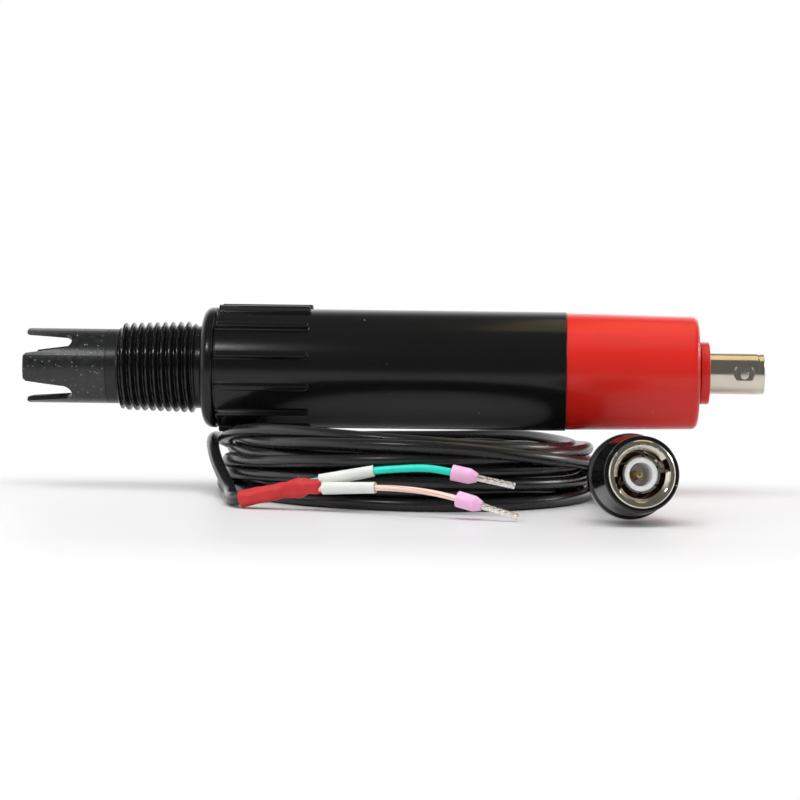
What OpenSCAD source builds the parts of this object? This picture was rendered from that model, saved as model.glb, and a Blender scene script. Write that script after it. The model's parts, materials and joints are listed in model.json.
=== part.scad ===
// Redox sensor with a bayonet jack, lying on its own coiled lead.
// The sensor's axis is X, from the slotted tip (-X) to the jack (+X), and Z is up.
// The origin is on that axis, where the pipe thread meets the shoulder.

/* [Guard] */
// Outside diameter of the slotted guard and of the neck behind it
guard_d = 17.2; // [15.5:0.1:17.6]
// Length of the guard from its tips to the seam
guard_l = 18.8; // [16:0.1:24]
// Wall of the four tines
guard_wall = 1.2; // [1:0.1:2]
// Depth of the slots between the tines
slot_depth = 11; // [7:0.1:12]
// Width of a slot at its round root
slot_root_w = 4.4; // [3.4:0.1:5]
// Width of a slot at the tips
slot_tip_w = 7.2; // [5.5:0.1:8]
// Radius of the corners of a tine's end
tine_corner_r = 0.6; // [0.2:0.1:0.9]
// Length of the guard's spigot inside the housing
guard_spigot_l = 4.8; // [3:0.1:6]

/* [Thread] */
// Length of the taper pipe thread
thread_l = 19.6; // [16:0.1:24]
// Pitch of the thread, 14 to the inch
thread_pitch = 1.814; // [1.3:0.001:2.3]
// Crest diameter of the thread at its large end
thread_d = 21.3; // [20.6:0.1:23]
// Radial depth of the thread
thread_depth = 1.1; // [0.7:0.05:1.3]
// Length of the plain neck between the guard and the thread
neck_l = 2.5; // [1:0.1:5]

/* [Housing] */
// Diameter of the rounded shoulder
shoulder_d = 27.8; // [26:0.1:28.4]
// Length of the shoulder, from the thread to its groove
shoulder_l = 3; // [2.4:0.1:5]
// Diameter of the barrel
barrel_d = 27.5; // [26.4:0.1:28]
// Length from the thread to the red cap's seam
barrel_l = 83.5; // [80:0.1:100]
// Wall of the barrel
barrel_wall = 3; // [2.6:0.1:3.6]
// Radius of the bore through the thread
front_bore_r = 5.5; // [5.2:0.05:5.7]
// Number of grip ribs round the barrel
rib_count = 12; // [8:1:16]
// Length of a grip rib
rib_l = 21.1; // [12:0.1:40]
// Width of a grip rib
rib_w = 1.4; // [1:0.1:2]
// Height of a grip rib above the barrel
rib_h = 1.3; // [0.6:0.1:1.6]
// Length of the spigot that the cap slides on
spigot_l = 8; // [6:0.1:12]
// Wall of that spigot
spigot_wall = 1.5; // [1.2:0.1:1.8]

/* [Red cap] */
// How far the cap lies inside the barrel's surface at the seam
cap_step = 0.25; // [0:0.05:0.6]
// How much the cap's radius narrows from the seam to its end
cap_draft = 0.5; // [0:0.1:0.8]
// Length of the cap, seam to end face
cap_l = 30.5; // [29:0.1:40]
// Radius of the cap's end edge
cap_edge_r = 1.5; // [0.8:0.1:2]
// Thickness of the cap's end wall
cap_end_wall = 4; // [3:0.1:5]
// Diameter of the neck under the collar
collar_neck_d = 12; // [11:0.1:13]
// Length of that neck
collar_neck_l = 0.5; // [0.3:0.1:3]
// Diameter of the thin round collar
collar_d = 14.4; // [13.6:0.1:16]
// Thickness of the collar
collar_t = 2.1; // [1:0.1:3]

/* [Sensing element] */
// Diameter of the glass stem
stem_d = 5; // [4.6:0.1:5.4]
// How far the stem stands out of the guard's floor
stem_reach = 5.2; // [3:0.1:6]
// Diameter of the platinum button
button_d = 3.2; // [2:0.1:3.8]
// Thickness of the platinum button
button_t = 0.8; // [0.5:0.1:1.2]
// Length of the porous junction ring
junction_l = 9.3; // [6:0.1:11]
// How far the junction ring stands proud of the guard's floor
junction_proud = 0.7; // [0.3:0.1:1.2]
// Radius of the signal wire
signal_wire_r = 0.4; // [0.3:0.05:0.45]
// Radius of the silver reference wire
reference_wire_r = 0.5; // [0.4:0.05:0.6]
// Radius of its coated end
reference_coat_r = 0.9; // [0.7:0.05:1.1]
// How far the reference wire reaches out of the rear seal into the gel
reference_reach = 44; // [30:1:48]
// Length of its coated end
coat_l = 14; // [8:1:20]
// Distance from the sensor's axis to the reference wire
reference_y = 6; // [5.9:0.05:6.1]

/* [Rear seal] */
// Distance from the thread to the rear seal
seal_x = 66; // [56:0.5:66]
// Thickness of the rear seal
seal_t = 8; // [7:0.1:9]
// Section diameter of the two seal rings
ring_section_d = 1.8; // [1.5:0.1:2]
// Distance between the two seal rings
ring_spacing = 3.6; // [3.2:0.1:4]

/* [Bayonet jack] */
// Outside diameter of the jack's nose
jack_d = 9.6; // [9.5:0.01:9.7]
// Length of the nose that stands out of the collar
jack_reach = 12.7; // [12:0.1:14]
// Bore of the nose
jack_bore_d = 8.2; // [8.1:0.01:8.3]
// Depth of the bore
jack_bore_l = 11; // [10.5:0.1:11.5]
// Diameter of a bayonet lug
lug_d = 2; // [1.9:0.01:2.1]
// Distance over the two lugs
lug_span = 11.1; // [10.9:0.01:11.2]
// Distance from the jack's face to the lugs
lug_x = 4.8; // [4.6:0.1:5.4]
// Diameter of the flange inside the cap
flange_d = 15; // [14:0.1:17]
// Thickness of that flange
flange_t = 2; // [1.5:0.1:2.5]
// Diameter of the shank behind the flange
shank_d = 8; // [7.9:0.05:8.2]
// Length of the shank
shank_l = 6.6; // [6:0.1:7]
// Diameter of the insulator inside the shank
jack_core_d = 6.4; // [6.2:0.05:6.5]
// Diameter of the insulator's nose
jack_nose_d = 4.8; // [4.7:0.01:4.83]
// Diameter of the centre contact
contact_d = 2.2; // [2.1:0.05:2.3]
// Hole for the plug's pin
contact_hole_d = 1.4; // [1.38:0.01:1.42]
// Across flats of the nut
nut_af = 10; // [9.6:0.1:10.4]
// Thickness of the nut
nut_t = 2.8; // [2:0.1:3]
// Thickness of the solder tag
tag_t = 0.8; // [0.4:0.1:1]
// Diameter of the solder tag
tag_d = 13.2; // [13:0.1:13.6]
// Length of the resin block
potting_l = 15; // [14:0.1:16]

/* [Plug] */
// Diameter of the cover's front edge
cover_front_d = 15.8; // [15.4:0.1:16.4]
// Largest diameter of the cover, near its rear
cover_d = 18; // [17.4:0.1:18.2]
// Length of the cover and of the nut in it
cover_l = 13.3; // [13:0.1:15]
// Outside diameter of the bayonet nut
nut_d = 14; // [13.7:0.05:14.2]
// Bore of the bayonet nut
nut_bore_d = 10.1; // [10:0.01:10.2]
// Width of the funnel at its mouth
nut_funnel = 0.9; // [0.5:0.1:1.1]
// Bore of the chamber behind it
chamber_d = 11.4; // [11.3:0.01:11.5]
// Depth from the front face to that chamber
chamber_z = 9; // [8.8:0.1:9.4]
// Width of a bayonet slot
bayonet_w = 2.4; // [2.3:0.05:2.6]
// Outside diameter of the slotted contact
fingers_d = 8.1; // [8:0.01:8.15]
// Wall of the slotted contact
fingers_wall = 0.5; // [0.4:0.05:0.55]
// Number of slots in the contact, counted across the diameter
finger_cuts = 3; // [2:1:4]
// Diameter of the plug insulator's cavity
cavity_d = 4.9; // [4.88:0.01:5]
// Diameter of the plug's centre pin
plug_pin_d = 1.35; // [1.32:0.01:1.37]
// Forward travel of the nut against its spring
nut_travel = 0.5; // [0.3:0.05:0.6]
// Free height of the wave washer
wave_h = 0.9; // [0.8:0.05:1]
// Thickness of the wave washer
wave_t = 0.25; // [0.2:0.05:0.25]
// Number of waves round the washer
wave_count = 3; // [2:1:4]
// Thickness of the flat washer behind it
washer_t = 0.4; // [0.3:0.05:0.5]
// Thickness of the snap ring
snap_t = 0.6; // [0.5:0.05:0.7]
// Length of the cable boot behind the nut
boot_l = 22; // [18:0.1:30]
// Number of flexing grooves in the boot
boot_grooves = 4; // [0:1:5]

/* [Lead] */
// Diameter of the cable
cable_d = 2.8; // [2.6:0.05:3]
// Diameter of the green wire
green_d = 1.6; // [1.4:0.05:1.7]
// Diameter of the clear wire
clear_d = 1.3; // [1.1:0.05:1.4]
// Diameter of the red sleeve where it starts
splice_d = 3.7; // [3.6:0.05:3.9]
// Length of the red sleeve
splice_l = 16.2; // [15:0.1:16.6]
// Diameter of a white marker sleeve
marker_d = 2.4; // [2.3:0.05:2.5]
// Length of a white marker sleeve
marker_l = 12; // [9:0.1:12]
// Length of a ferrule's pink collar
collar_l = 5.6; // [5:0.1:6]
// Rear diameter of that collar
collar_rear_d = 3.4; // [3:0.1:3.8]
// Diameter of a ferrule's pin
ferrule_d = 1.45; // [1.2:0.05:1.5]
// Length of the pin beyond its collar
ferrule_l = 8.2; // [6:0.1:8.4]
// Radial height of the coil at its front run
coil_front_h = 17; // [15:0.5:18]
// Height of the coil at its back run
coil_back_h = 10; // [8:0.5:12]
// Width of the coil at its front run
coil_front_w = 7; // [6:0.5:7.5]
// Width of the coil at its back run
coil_back_w = 10; // [8:0.5:12]
// Width of the coil at its two ends
coil_end_w = 8; // [7:0.5:8.5]

/* [Hidden] */
$fn = 96;

// Clearance of a glued or sliding fit, and of a piece that rests on another
fit = 0.05;
// Overshoot of a cut beyond the face that it opens
cut = 1;

// Sensor, stations along X
guard_r = guard_d / 2;
neck_x = -thread_l - neck_l;
tip_x = neck_x - guard_l;
slot_x = tip_x + slot_depth;
floor_x = slot_x + 0.3;
guard_edge_r = 0.5;
guard_spigot_r = guard_r - guard_wall;
thread_turns = floor(thread_l / thread_pitch);
thread_x = -(thread_l + (thread_turns - 1) * thread_pitch) / 2;
thread_taper = 1 / 32;
thread_crest_w = 0.36;
shoulder_r = shoulder_d / 2;
shoulder_edge = 2;
groove_w = 0.6;
barrel_r = barrel_d / 2;
groove_r = barrel_r - 0.6;
rib_x = shoulder_l + groove_w;
bore_r = barrel_r - barrel_wall;
bore_cone_x = 4;
bore_wide_x = bore_cone_x + bore_r - front_bore_r;
spigot_r = bore_r + spigot_wall;
spigot_end_x = barrel_l + spigot_l;

// Cap and jack, stations along X
cap_r = barrel_r - cap_step;
cap_end_r = cap_r - cap_draft;
cap_end_x = barrel_l + cap_l;
cap_wall_x = cap_end_x - cap_end_wall;
cavity_r = bore_r + 0.6;
collar_x = cap_end_x + collar_neck_l;
collar_end_x = collar_x + collar_t;
jack_r = jack_d / 2;
jack_face_x = collar_end_x + jack_reach;
jack_bore_x = jack_face_x - jack_bore_l;
flange_x = cap_wall_x - fit - flange_t;
shank_x = flange_x - shank_l;
tag_x = flange_x - tag_t;
nut_x = tag_x - nut_t;
nose_x = jack_face_x - 1.6;
contact_x = shank_x - 2.5;
contact_front_x = nose_x - 0.5;
contact_cup_l = 3;

// Sensing element, stations along X
stem_r = stem_d / 2;
stem_x = floor_x - stem_reach;
stem_end_x = seal_x + seal_t + 2;
button_pin_r = signal_wire_r + 0.2;
button_pin_l = 3;
junction_x = floor_x - junction_proud;
junction_end_x = junction_x + junction_l;
reference_x = seal_x - reference_reach;
reference_end_x = seal_x + seal_t + 2;
ring_r = ring_section_d / 2;
ring_mid_r = bore_r - ring_r - 0.02;

// Plug, stations along its own axis, with 0 at the nut's front face
flange_front_z = -chamber_z - fit;
flange_rear_z = flange_front_z - 1.3;
plug_flange_r = chamber_d / 2 - 0.1;
plug_shank_r = 3.9;
plug_shank_z = flange_rear_z - 6.1;
plug_neck_r = 2.6;
plug_neck_z = plug_shank_z - 7.4;
fingers_z = -1;
fingers_l = 5;
core_z = -1.3;
cavity_z = -8.8;
plug_pin_z = -2.6;
pin_base_r = 1.05;
pin_end_z = plug_shank_z + 0.5;
gasket_t = 0.5;
spring_gap = 0.01;
wave_z = flange_rear_z - wave_h - 2 * spring_gap;
washer_z = wave_z - washer_t;
snap_z = washer_z - fit - snap_t;
snap_r = chamber_d / 2 + 0.4;
lug_reach_r = lug_span / 2 + 0.2;
bayonet_turn = 65;
bayonet_z = -lug_x + 0.4;
slot_angle = 19;
ferrule_r = 3.3;
boot_z = -cover_l - 0.6;
boot_end_z = boot_z - boot_l;
boot_r = 4.6;
boot_end_r = 2.3;
cable_start_z = plug_neck_z - 0.2;

// Where the object stands, and the places of the pieces on the lead
rib_r = barrel_r + rib_h;
rib_angle = 180 / rib_count;
stand_z = -27.7;
plug_at = [98.4, -73, -16.85];
plug_yaw = 10.4;
plug_tilt = 7.6;
splice_at = [14.1, -46.3, -25.6];
splice_turn = [-9.9, 11.6];
marker_a_at = [30.6, -48.5, -21.4];
marker_a_turn = [-8, 11.6];
marker_b_at = [31.4, -50.4, -22.8];
marker_b_turn = [-17.9, 2.9];
ferrule_a_at = [58.9, -53.2, -18.8];
ferrule_a_turn = [-8.3, -10.7];
ferrule_b_at = [60.4, -62, -23.5];
ferrule_b_turn = [-18.6, -13.3];
marker_bore_r = green_d / 2 + 0.12;
collar_wire_l = 3.3;
pin_root_r = ferrule_d / 2 - 0.2;
wire_offset = 0.85;

// Direction of a piece that lies along X before it is turned by [yaw, pitch]
function heading(turn) = [cos(turn[1]) * cos(turn[0]), cos(turn[1]) * sin(turn[0]), sin(turn[1])];
// Point at a distance s along such a piece, and up from its axis by u
function spot(at, turn, s, u = 0) =
  at + s * heading(turn) + u * [-sin(turn[1]) * cos(turn[0]), -sin(turn[1]) * sin(turn[0]), cos(turn[1])];
// Point on the plug's axis at the station z
function plug_point(z) = plug_at + z * [
  sin(plug_yaw) * cos(plug_tilt),
  -cos(plug_yaw) * cos(plug_tilt),
  sin(plug_tilt)
];

// Routes of the free stretches of the lead
plug_route = [
  plug_point(cable_start_z), plug_point(boot_end_z - 1),
  [91.6, -12.7, -23], [90.6, -4.5, -23.9], [88.7, 3.7, -24.8], [85.4, 11.9, -25.6], [80.8, 19.4, -26.1],
  [75.3, 25.3, -26.2], [69.3, 29.5, -26.2]
];
splice_route = [
  [8.6, 20.1, -21.5], [4.9, 14.3, -19], [2.6, 6.8, -16.9], [2.1, -1.5, -16.4], [3.1, -9.8, -18],
  [5.1, -17.9, -20.8], [7.6, -25.3, -23.6], [9.6, -32.2, -25.6], [10.3, -38.1, -26.1], [11.5, -43, -26],
  spot(splice_at, splice_turn, -0.6), spot(splice_at, splice_turn, 7)
];
green_route = [
  spot(splice_at, splice_turn, 9, wire_offset), spot(splice_at, splice_turn, splice_l, wire_offset),
  spot(marker_a_at, marker_a_turn, -0.3), spot(marker_a_at, marker_a_turn, marker_l + 0.3),
  [47.7, -51.2, -18.4], [53.3, -52.2, -18.1],
  spot(ferrule_a_at, ferrule_a_turn, -0.6), spot(ferrule_a_at, ferrule_a_turn, collar_wire_l - fit)
];
clear_route = [
  spot(splice_at, splice_turn, 9, -wire_offset), spot(splice_at, splice_turn, splice_l, -wire_offset),
  spot(marker_b_at, marker_b_turn, -0.3), spot(marker_b_at, marker_b_turn, marker_l + 0.3),
  [48.8, -57, -22.1], [54.6, -59.5, -22.5],
  spot(ferrule_b_at, ferrule_b_turn, -0.6), spot(ferrule_b_at, ferrule_b_turn, collar_wire_l - fit)
];

// Centre line of the coil: a slightly oval ring, through its middle plus coil_right and coil_back
coil_at = [46.9, -6];
coil_right = [39, -8.1];
coil_back = [1.8, 39.8];
coil_stations = 44;
coil_sides = 12;
coil_left_h = -stand_z - rib_r * cos(rib_angle - asin(rib_w / 2 / rib_r)) - fit;
coil_right_h = -stand_z - barrel_r - fit;
function easing(s) = s * s * (3 - 2 * s);
function rise(t) = easing(max(0, (abs(sin(t)) - 0.35) / 0.65));
function between(a, b, s) = a + (b - a) * s;
function coil_end_h(t) = between(coil_left_h, coil_right_h, (1 + cos(t)) / 2);
function coil_h(t) = between(coil_end_h(t), sin(t) < 0 ? coil_front_h : coil_back_h, rise(t));
function coil_w(t) = between(coil_end_w, sin(t) < 0 ? coil_front_w : coil_back_w, rise(t));
function coil_mid(t) = coil_at + coil_right * cos(t) + coil_back * sin(t);
function coil_out(t) =
  let(along = coil_back * cos(t) - coil_right * sin(t)) [along[1], -along[0]] / norm(along);
// Point of the coil's section, a fourth-power oval with a flat foot, top and sides
function squared(c) = sign(c) * sqrt(abs(c) / cos(180 / coil_sides));
function coil_point(t, a) =
  let(
    p = coil_mid(t) + coil_out(t) * squared(cos(a)) * coil_w(t) / 2,
    z = stand_z + coil_h(t) * (1 + squared(sin(a))) / 2
  ) [p[0], p[1], z];

// A profile of [radius, x] points, turned round the sensor's axis
module turned(profile, around = 96) {
  rotate([0, 90, 0])
    rotate_extrude($fn = around)
      polygon(profile);
}

// A rod or a hole along X
module rod(r, x0, x1, y = 0) {
  translate([x0, y, 0])
    rotate([0, 90, 0])
      cylinder(r = r, h = x1 - x0);
}

// Points of a rounded edge: centre, radius, and the angles where it starts and ends
function edge_arc(c, r, a0, a1, steps = 6) = [
  for (i = [0:steps]) let(a = between(a0, a1, i / steps)) c + r * [cos(a), sin(a)]
];

// A closed tube swept along points, with its end faces square to the route
module swept(points, r, sides = 8) {
  n = len(points);
  rings = [
    for (i = [0:n - 1])
      let(
        ahead = points[min(i + 1, n - 1)] - points[max(i - 1, 0)],
        along = ahead / norm(ahead),
        across = cross(along, [0, 0, 1]),
        side = across / norm(across),
        up = cross(side, along)
      )
      for (k = [0:sides - 1])
        let(a = 360 * k / sides) points[i] + r * (side * cos(a) + up * sin(a))
  ];
  walls = [
    for (i = [0:n - 2]) for (k = [0:sides - 1])
      let(a = i * sides + k, b = i * sides + (k + 1) % sides)
      each [[a, a + sides, b + sides], [a, b + sides, b]]
  ];
  ends = [
    [for (k = [0:sides - 1]) k],
    [for (k = [sides - 1:-1:0]) (n - 1) * sides + k]
  ];
  polyhedron(points = rings, faces = concat(walls, ends), convexity = 6);
}

// Puts children that lie along X at a place on the lead
module placed(at, turn) {
  translate(at)
    rotate([0, -turn[1], turn[0]])
      children();
}

// Puts children that stand along Z on the plug's axis
module on_plug() {
  translate(plug_at)
    rotate([90 - plug_tilt, 0, plug_yaw])
      children();
}

// A ring along Z between two stations
module ring(r_out, r_in, z0, z1) {
  translate([0, 0, min(z0, z1)])
    difference() {
      cylinder(r = r_out, h = abs(z1 - z0));
      translate([0, 0, -cut])
        cylinder(r = r_in, h = abs(z1 - z0) + 2 * cut);
    }
}

module slot_cut() {
  half_root = slot_root_w / 2;
  half_tip = slot_tip_w / 2;
  translate([0, 0, -guard_d])
    linear_extrude(2 * guard_d) {
      translate([slot_x - half_root, 0])
        circle(r = half_root, $fn = 48);
      polygon([
        [slot_x - half_root, -half_root],
        [tip_x - cut, -half_tip],
        [tip_x - cut, half_tip],
        [slot_x - half_root, half_root]
      ]);
      for (s = [-1, 1])
        translate([tip_x, s * half_tip])
          difference() {
            translate([-cut, -tine_corner_r])
              square([tine_corner_r + cut, 2 * tine_corner_r]);
            translate([tine_corner_r, s * tine_corner_r])
              circle(r = tine_corner_r, $fn = 32);
          }
    }
}

module guard() {
  outer = concat(
    [[guard_r, neck_x]],
    edge_arc([guard_r - guard_edge_r, tip_x + guard_edge_r], guard_edge_r, 0, -90),
    [
      [guard_spigot_r, tip_x],
      [guard_spigot_r, floor_x],
      [front_bore_r, floor_x],
      [front_bore_r, neck_x + guard_spigot_l],
      [guard_spigot_r, neck_x + guard_spigot_l],
      [guard_spigot_r, neck_x]
    ]
  );
  color([0.1, 0.1, 0.1])
    difference() {
      turned(outer);
      for (a = [45, 135])
        rotate([a, 0, 0])
          slot_cut();
    }
}

function crest_r(x) = thread_d / 2 + x * thread_taper;
function thread_form(x) =
  let(flank = thread_depth * tan(30), half = thread_crest_w / 2)
  [
    [crest_r(x) - thread_depth, x - half - flank],
    [crest_r(x), x - half],
    [crest_r(x), x + half],
    [crest_r(x) - thread_depth, x + half + flank]
  ];

module grip_rib() {
  foot = barrel_r - 1;
  translate([rib_x, -rib_w / 2, foot])
    cube([rib_l - rib_w / 2, rib_w, rib_r - foot]);
  translate([rib_x + rib_l - rib_w / 2, 0, foot])
    cylinder(r = rib_w / 2, h = rib_r - foot, $fn = 48);
}

module housing() {
  seat_r = guard_spigot_r + fit;
  body = concat(
    [[seat_r, neck_x], [guard_r, neck_x], [guard_r, -thread_l]],
    [for (i = [0:thread_turns - 1]) each thread_form(thread_x + i * thread_pitch)],
    [[crest_r(0) - thread_depth, 0]],
    edge_arc([shoulder_r - shoulder_edge, shoulder_edge], shoulder_edge, -90, 0),
    [
      [shoulder_r, shoulder_l],
      [groove_r, shoulder_l],
      [groove_r, shoulder_l + groove_w],
      [barrel_r, shoulder_l + groove_w],
      [barrel_r, barrel_l],
      [spigot_r, barrel_l],
      [spigot_r, spigot_end_x],
      [bore_r, spigot_end_x],
      [bore_r, bore_wide_x],
      [front_bore_r, bore_cone_x],
      [front_bore_r, neck_x + guard_spigot_l + fit],
      [seat_r, neck_x + guard_spigot_l + fit]
    ]
  );
  color([0.06, 0.06, 0.07])
    union() {
      turned(body);
      for (i = [0:rib_count - 1])
        rotate([(i + 0.5) * 360 / rib_count, 0, 0])
          grip_rib();
    }
}

module end_cap() {
  shape = concat(
    [[spigot_r + fit, barrel_l], [cap_r, barrel_l]],
    edge_arc([cap_end_r - cap_edge_r, cap_end_x - cap_edge_r], cap_edge_r, 0, 90),
    [
      [collar_neck_d / 2, cap_end_x],
      [collar_neck_d / 2, collar_x],
      [collar_d / 2, collar_x]
    ],
    edge_arc([collar_d / 2 - 0.4, collar_end_x - 0.4], 0.4, 0, 90),
    [
      [jack_r + fit, collar_end_x],
      [jack_r + fit, cap_wall_x],
      [cavity_r, cap_wall_x],
      [cavity_r, spigot_end_x + fit],
      [spigot_r + fit, spigot_end_x + fit]
    ]
  );
  color([0.85, 0.13, 0.1])
    turned(shape);
}

module junction_ring() {
  color([0.93, 0.92, 0.88])
    difference() {
      rod(front_bore_r - fit, junction_x, junction_end_x);
      rod(stem_r + fit, junction_x - cut, junction_end_x + cut);
    }
}

module electrode_stem() {
  tip_r = 0.8;
  color([0.8, 0.87, 0.88, 0.5])
    turned(concat(
      [[button_pin_r + fit, stem_x]],
      edge_arc([stem_r - tip_r, stem_x + tip_r], tip_r, -90, 0),
      [
        [stem_r, stem_end_x],
        [signal_wire_r + fit, stem_end_x],
        [signal_wire_r + fit, stem_x + button_pin_l + fit],
        [button_pin_r + fit, stem_x + button_pin_l + fit]
      ]
    ), 64);
}

module platinum_tip() {
  half = button_d / 2;
  dome = half * half / (2 * button_t) + button_t / 2;
  sweep = asin(half / dome);
  color([0.8, 0.8, 0.8])
    turned(concat(
      [for (i = [0:8]) let(a = sweep * i / 8) [dome * sin(a), stem_x - button_t + dome * (1 - cos(a))]],
      [
        [button_pin_r, stem_x],
        [button_pin_r, stem_x + button_pin_l],
        [0, stem_x + button_pin_l]
      ]
    ), 48);
}

module signal_wire() {
  color([0.8, 0.5, 0.3])
    rod(signal_wire_r, stem_x + button_pin_l, contact_x + contact_cup_l - fit);
}

module gel_fill() {
  color([0.7, 0.8, 0.85, 0.6])
    difference() {
      turned([
        [0, junction_end_x],
        [front_bore_r - fit, junction_end_x],
        [front_bore_r - fit, bore_cone_x],
        [bore_r - fit, bore_wide_x],
        [bore_r - fit, seal_x],
        [0, seal_x]
      ]);
      rod(stem_r, junction_end_x - cut, seal_x + cut);
      rod(reference_coat_r, reference_x, reference_x + coat_l, reference_y);
      rod(reference_wire_r, reference_x, seal_x + cut, reference_y);
    }
}

module reference_wire() {
  color([0.6, 0.58, 0.6]) {
    rod(reference_coat_r, reference_x, reference_x + coat_l, reference_y);
    rod(reference_wire_r, reference_x + coat_l - fit, reference_end_x, reference_y);
  }
}

module shield_wire() {
  color([0.75, 0.75, 0.75])
    rod(reference_wire_r - fit, reference_end_x, tag_x, reference_y);
}

module rear_seal() {
  groove_w = ring_section_d + 0.2;
  groove_r = ring_mid_r - ring_r - 0.02;
  mid_x = seal_x + seal_t / 2;
  color([0.3, 0.3, 0.32])
    difference() {
      rod(bore_r - fit, seal_x + fit, seal_x + seal_t);
      for (s = [-1, 1])
        difference() {
          rod(bore_r + cut, mid_x + (s * ring_spacing - groove_w) / 2, mid_x + (s * ring_spacing + groove_w) / 2);
          rod(groove_r, seal_x - cut, seal_x + seal_t + cut);
        }
      rod(stem_r + fit, seal_x - cut, seal_x + seal_t + cut);
      rod(reference_wire_r + fit, seal_x - cut, seal_x + seal_t + cut, reference_y);
    }
}

module seal_ring(x) {
  color([0.15, 0.15, 0.15])
    translate([x, 0, 0])
      rotate([0, 90, 0])
        rotate_extrude($fn = 72)
          translate([ring_mid_r, 0])
            circle(r = ring_r, $fn = 24);
}

module seal_ring_front() {
  seal_ring(seal_x + (seal_t - ring_spacing) / 2);
}

module seal_ring_rear() {
  seal_ring(seal_x + (seal_t + ring_spacing) / 2);
}

module potting() {
  start_x = cap_wall_x - potting_l;
  color([0.35, 0.3, 0.22])
    difference() {
      rod(cavity_r - fit, start_x, cap_wall_x - fit);
      rod(flange_d / 2 + fit, tag_x - fit, cap_wall_x + cut);
      rod(nut_af / 2 / cos(30) + fit, nut_x - fit, tag_x);
      rod(shank_d / 2 + fit, start_x - cut, nut_x);
      rod(reference_wire_r + fit, start_x - cut, tag_x, reference_y);
    }
}

module jack_shell() {
  shape = [
    [shank_d / 2, shank_x],
    [shank_d / 2, flange_x],
    [flange_d / 2, flange_x],
    [flange_d / 2, flange_x + flange_t],
    [jack_r, flange_x + flange_t],
    [jack_r, jack_face_x - 0.35],
    [jack_r - 0.35, jack_face_x],
    [jack_bore_d / 2 + 0.2, jack_face_x],
    [jack_bore_d / 2, jack_face_x - 0.3],
    [jack_bore_d / 2, jack_bore_x],
    [jack_core_d / 2 + fit, jack_bore_x],
    [jack_core_d / 2 + fit, shank_x]
  ];
  color([0.72, 0.7, 0.64])
    union() {
      turned(shape);
      for (s = [-1, 1])
        translate([jack_face_x - lug_x, s * jack_bore_d / 2 + s * 0.3, 0])
          rotate([-s * 90, 0, 0])
            cylinder(r = lug_d / 2, h = (lug_span - jack_bore_d) / 2 - 0.3, $fn = 32);
    }
}

module jack_insulator() {
  color([0.93, 0.93, 0.9])
    turned([
      [contact_d / 2 + fit, shank_x],
      [jack_core_d / 2, shank_x],
      [jack_core_d / 2, jack_bore_x],
      [jack_nose_d / 2, jack_bore_x],
      [jack_nose_d / 2, nose_x - 0.3],
      [jack_nose_d / 2 - 0.3, nose_x],
      [contact_d / 2 + fit, nose_x]
    ], 64);
}

module jack_contact() {
  slit = 0.3;
  color([0.85, 0.68, 0.3])
    difference() {
      rod(contact_d / 2, contact_x, contact_front_x);
      rod(contact_hole_d / 2, contact_front_x - 6, contact_front_x + cut);
      rod(signal_wire_r + fit, contact_x - cut, contact_x + contact_cup_l);
      translate([contact_front_x - 5, -contact_d, -slit / 2])
        cube([5 + cut, 2 * contact_d, slit]);
    }
}

module solder_tag() {
  color([0.78, 0.76, 0.7])
    difference() {
      rod(tag_d / 2, tag_x, flange_x);
      rod(shank_d / 2 + fit, tag_x - cut, flange_x + cut);
    }
}

module jack_nut() {
  color([0.7, 0.68, 0.62])
    difference() {
      translate([nut_x, 0, 0])
        rotate([0, 90, 0])
          cylinder(r = nut_af / 2 / cos(30), h = nut_t, $fn = 6);
      rod(shank_d / 2 + fit, nut_x - cut, tag_x + cut);
    }
}

module plug_body() {
  inner_r = fingers_d / 2 - fingers_wall;
  color([0.74, 0.72, 0.66])
    on_plug()
      difference() {
        rotate_extrude($fn = 96)
          polygon([
            [inner_r, fingers_z],
            [fingers_d / 2 - 0.15, fingers_z],
            [fingers_d / 2, fingers_z - 0.3],
            [fingers_d / 2, flange_front_z],
            [plug_flange_r, flange_front_z],
            [plug_flange_r, flange_rear_z],
            [plug_shank_r, flange_rear_z],
            [plug_shank_r, plug_shank_z],
            [plug_neck_r, plug_shank_z],
            [plug_neck_r, plug_neck_z],
            [pin_base_r + fit, plug_neck_z],
            [pin_base_r + fit, flange_rear_z - fit],
            [inner_r, flange_rear_z - fit]
          ]);
        for (i = [0:finger_cuts - 1])
          rotate([0, 0, 24 + i * 180 / finger_cuts])
            translate([-fingers_d, -0.25, fingers_z - fingers_l])
              cube([2 * fingers_d, 0.5, fingers_l + cut]);
      }
}

module plug_insulator() {
  outer_r = fingers_d / 2 - fingers_wall - fit;
  color([0.95, 0.95, 0.93])
    on_plug()
      rotate_extrude($fn = 96)
        polygon([
          [cavity_d / 2, core_z],
          [outer_r, core_z],
          [outer_r, flange_rear_z],
          [pin_base_r + fit, flange_rear_z],
          [pin_base_r + fit, cavity_z],
          [cavity_d / 2, cavity_z]
        ]);
}

module plug_pin() {
  tip_r = plug_pin_d / 2;
  color([0.85, 0.68, 0.3])
    on_plug()
      rotate_extrude($fn = 64)
        polygon(concat(
          [[0, pin_end_z], [pin_base_r, pin_end_z], [pin_base_r, cavity_z + 0.8]],
          [[tip_r, cavity_z + 1.1], [tip_r, plug_pin_z - 0.8]],
          edge_arc([tip_r - 0.35, plug_pin_z - 0.35], 0.35, 10, 90),
          [[0, plug_pin_z]]
        ));
}

module plug_gasket() {
  color([0.75, 0.3, 0.2])
    on_plug()
      ring(nut_bore_d / 2 - 0.1, fingers_d / 2 + fit, flange_front_z, flange_front_z + gasket_t);
}

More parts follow.
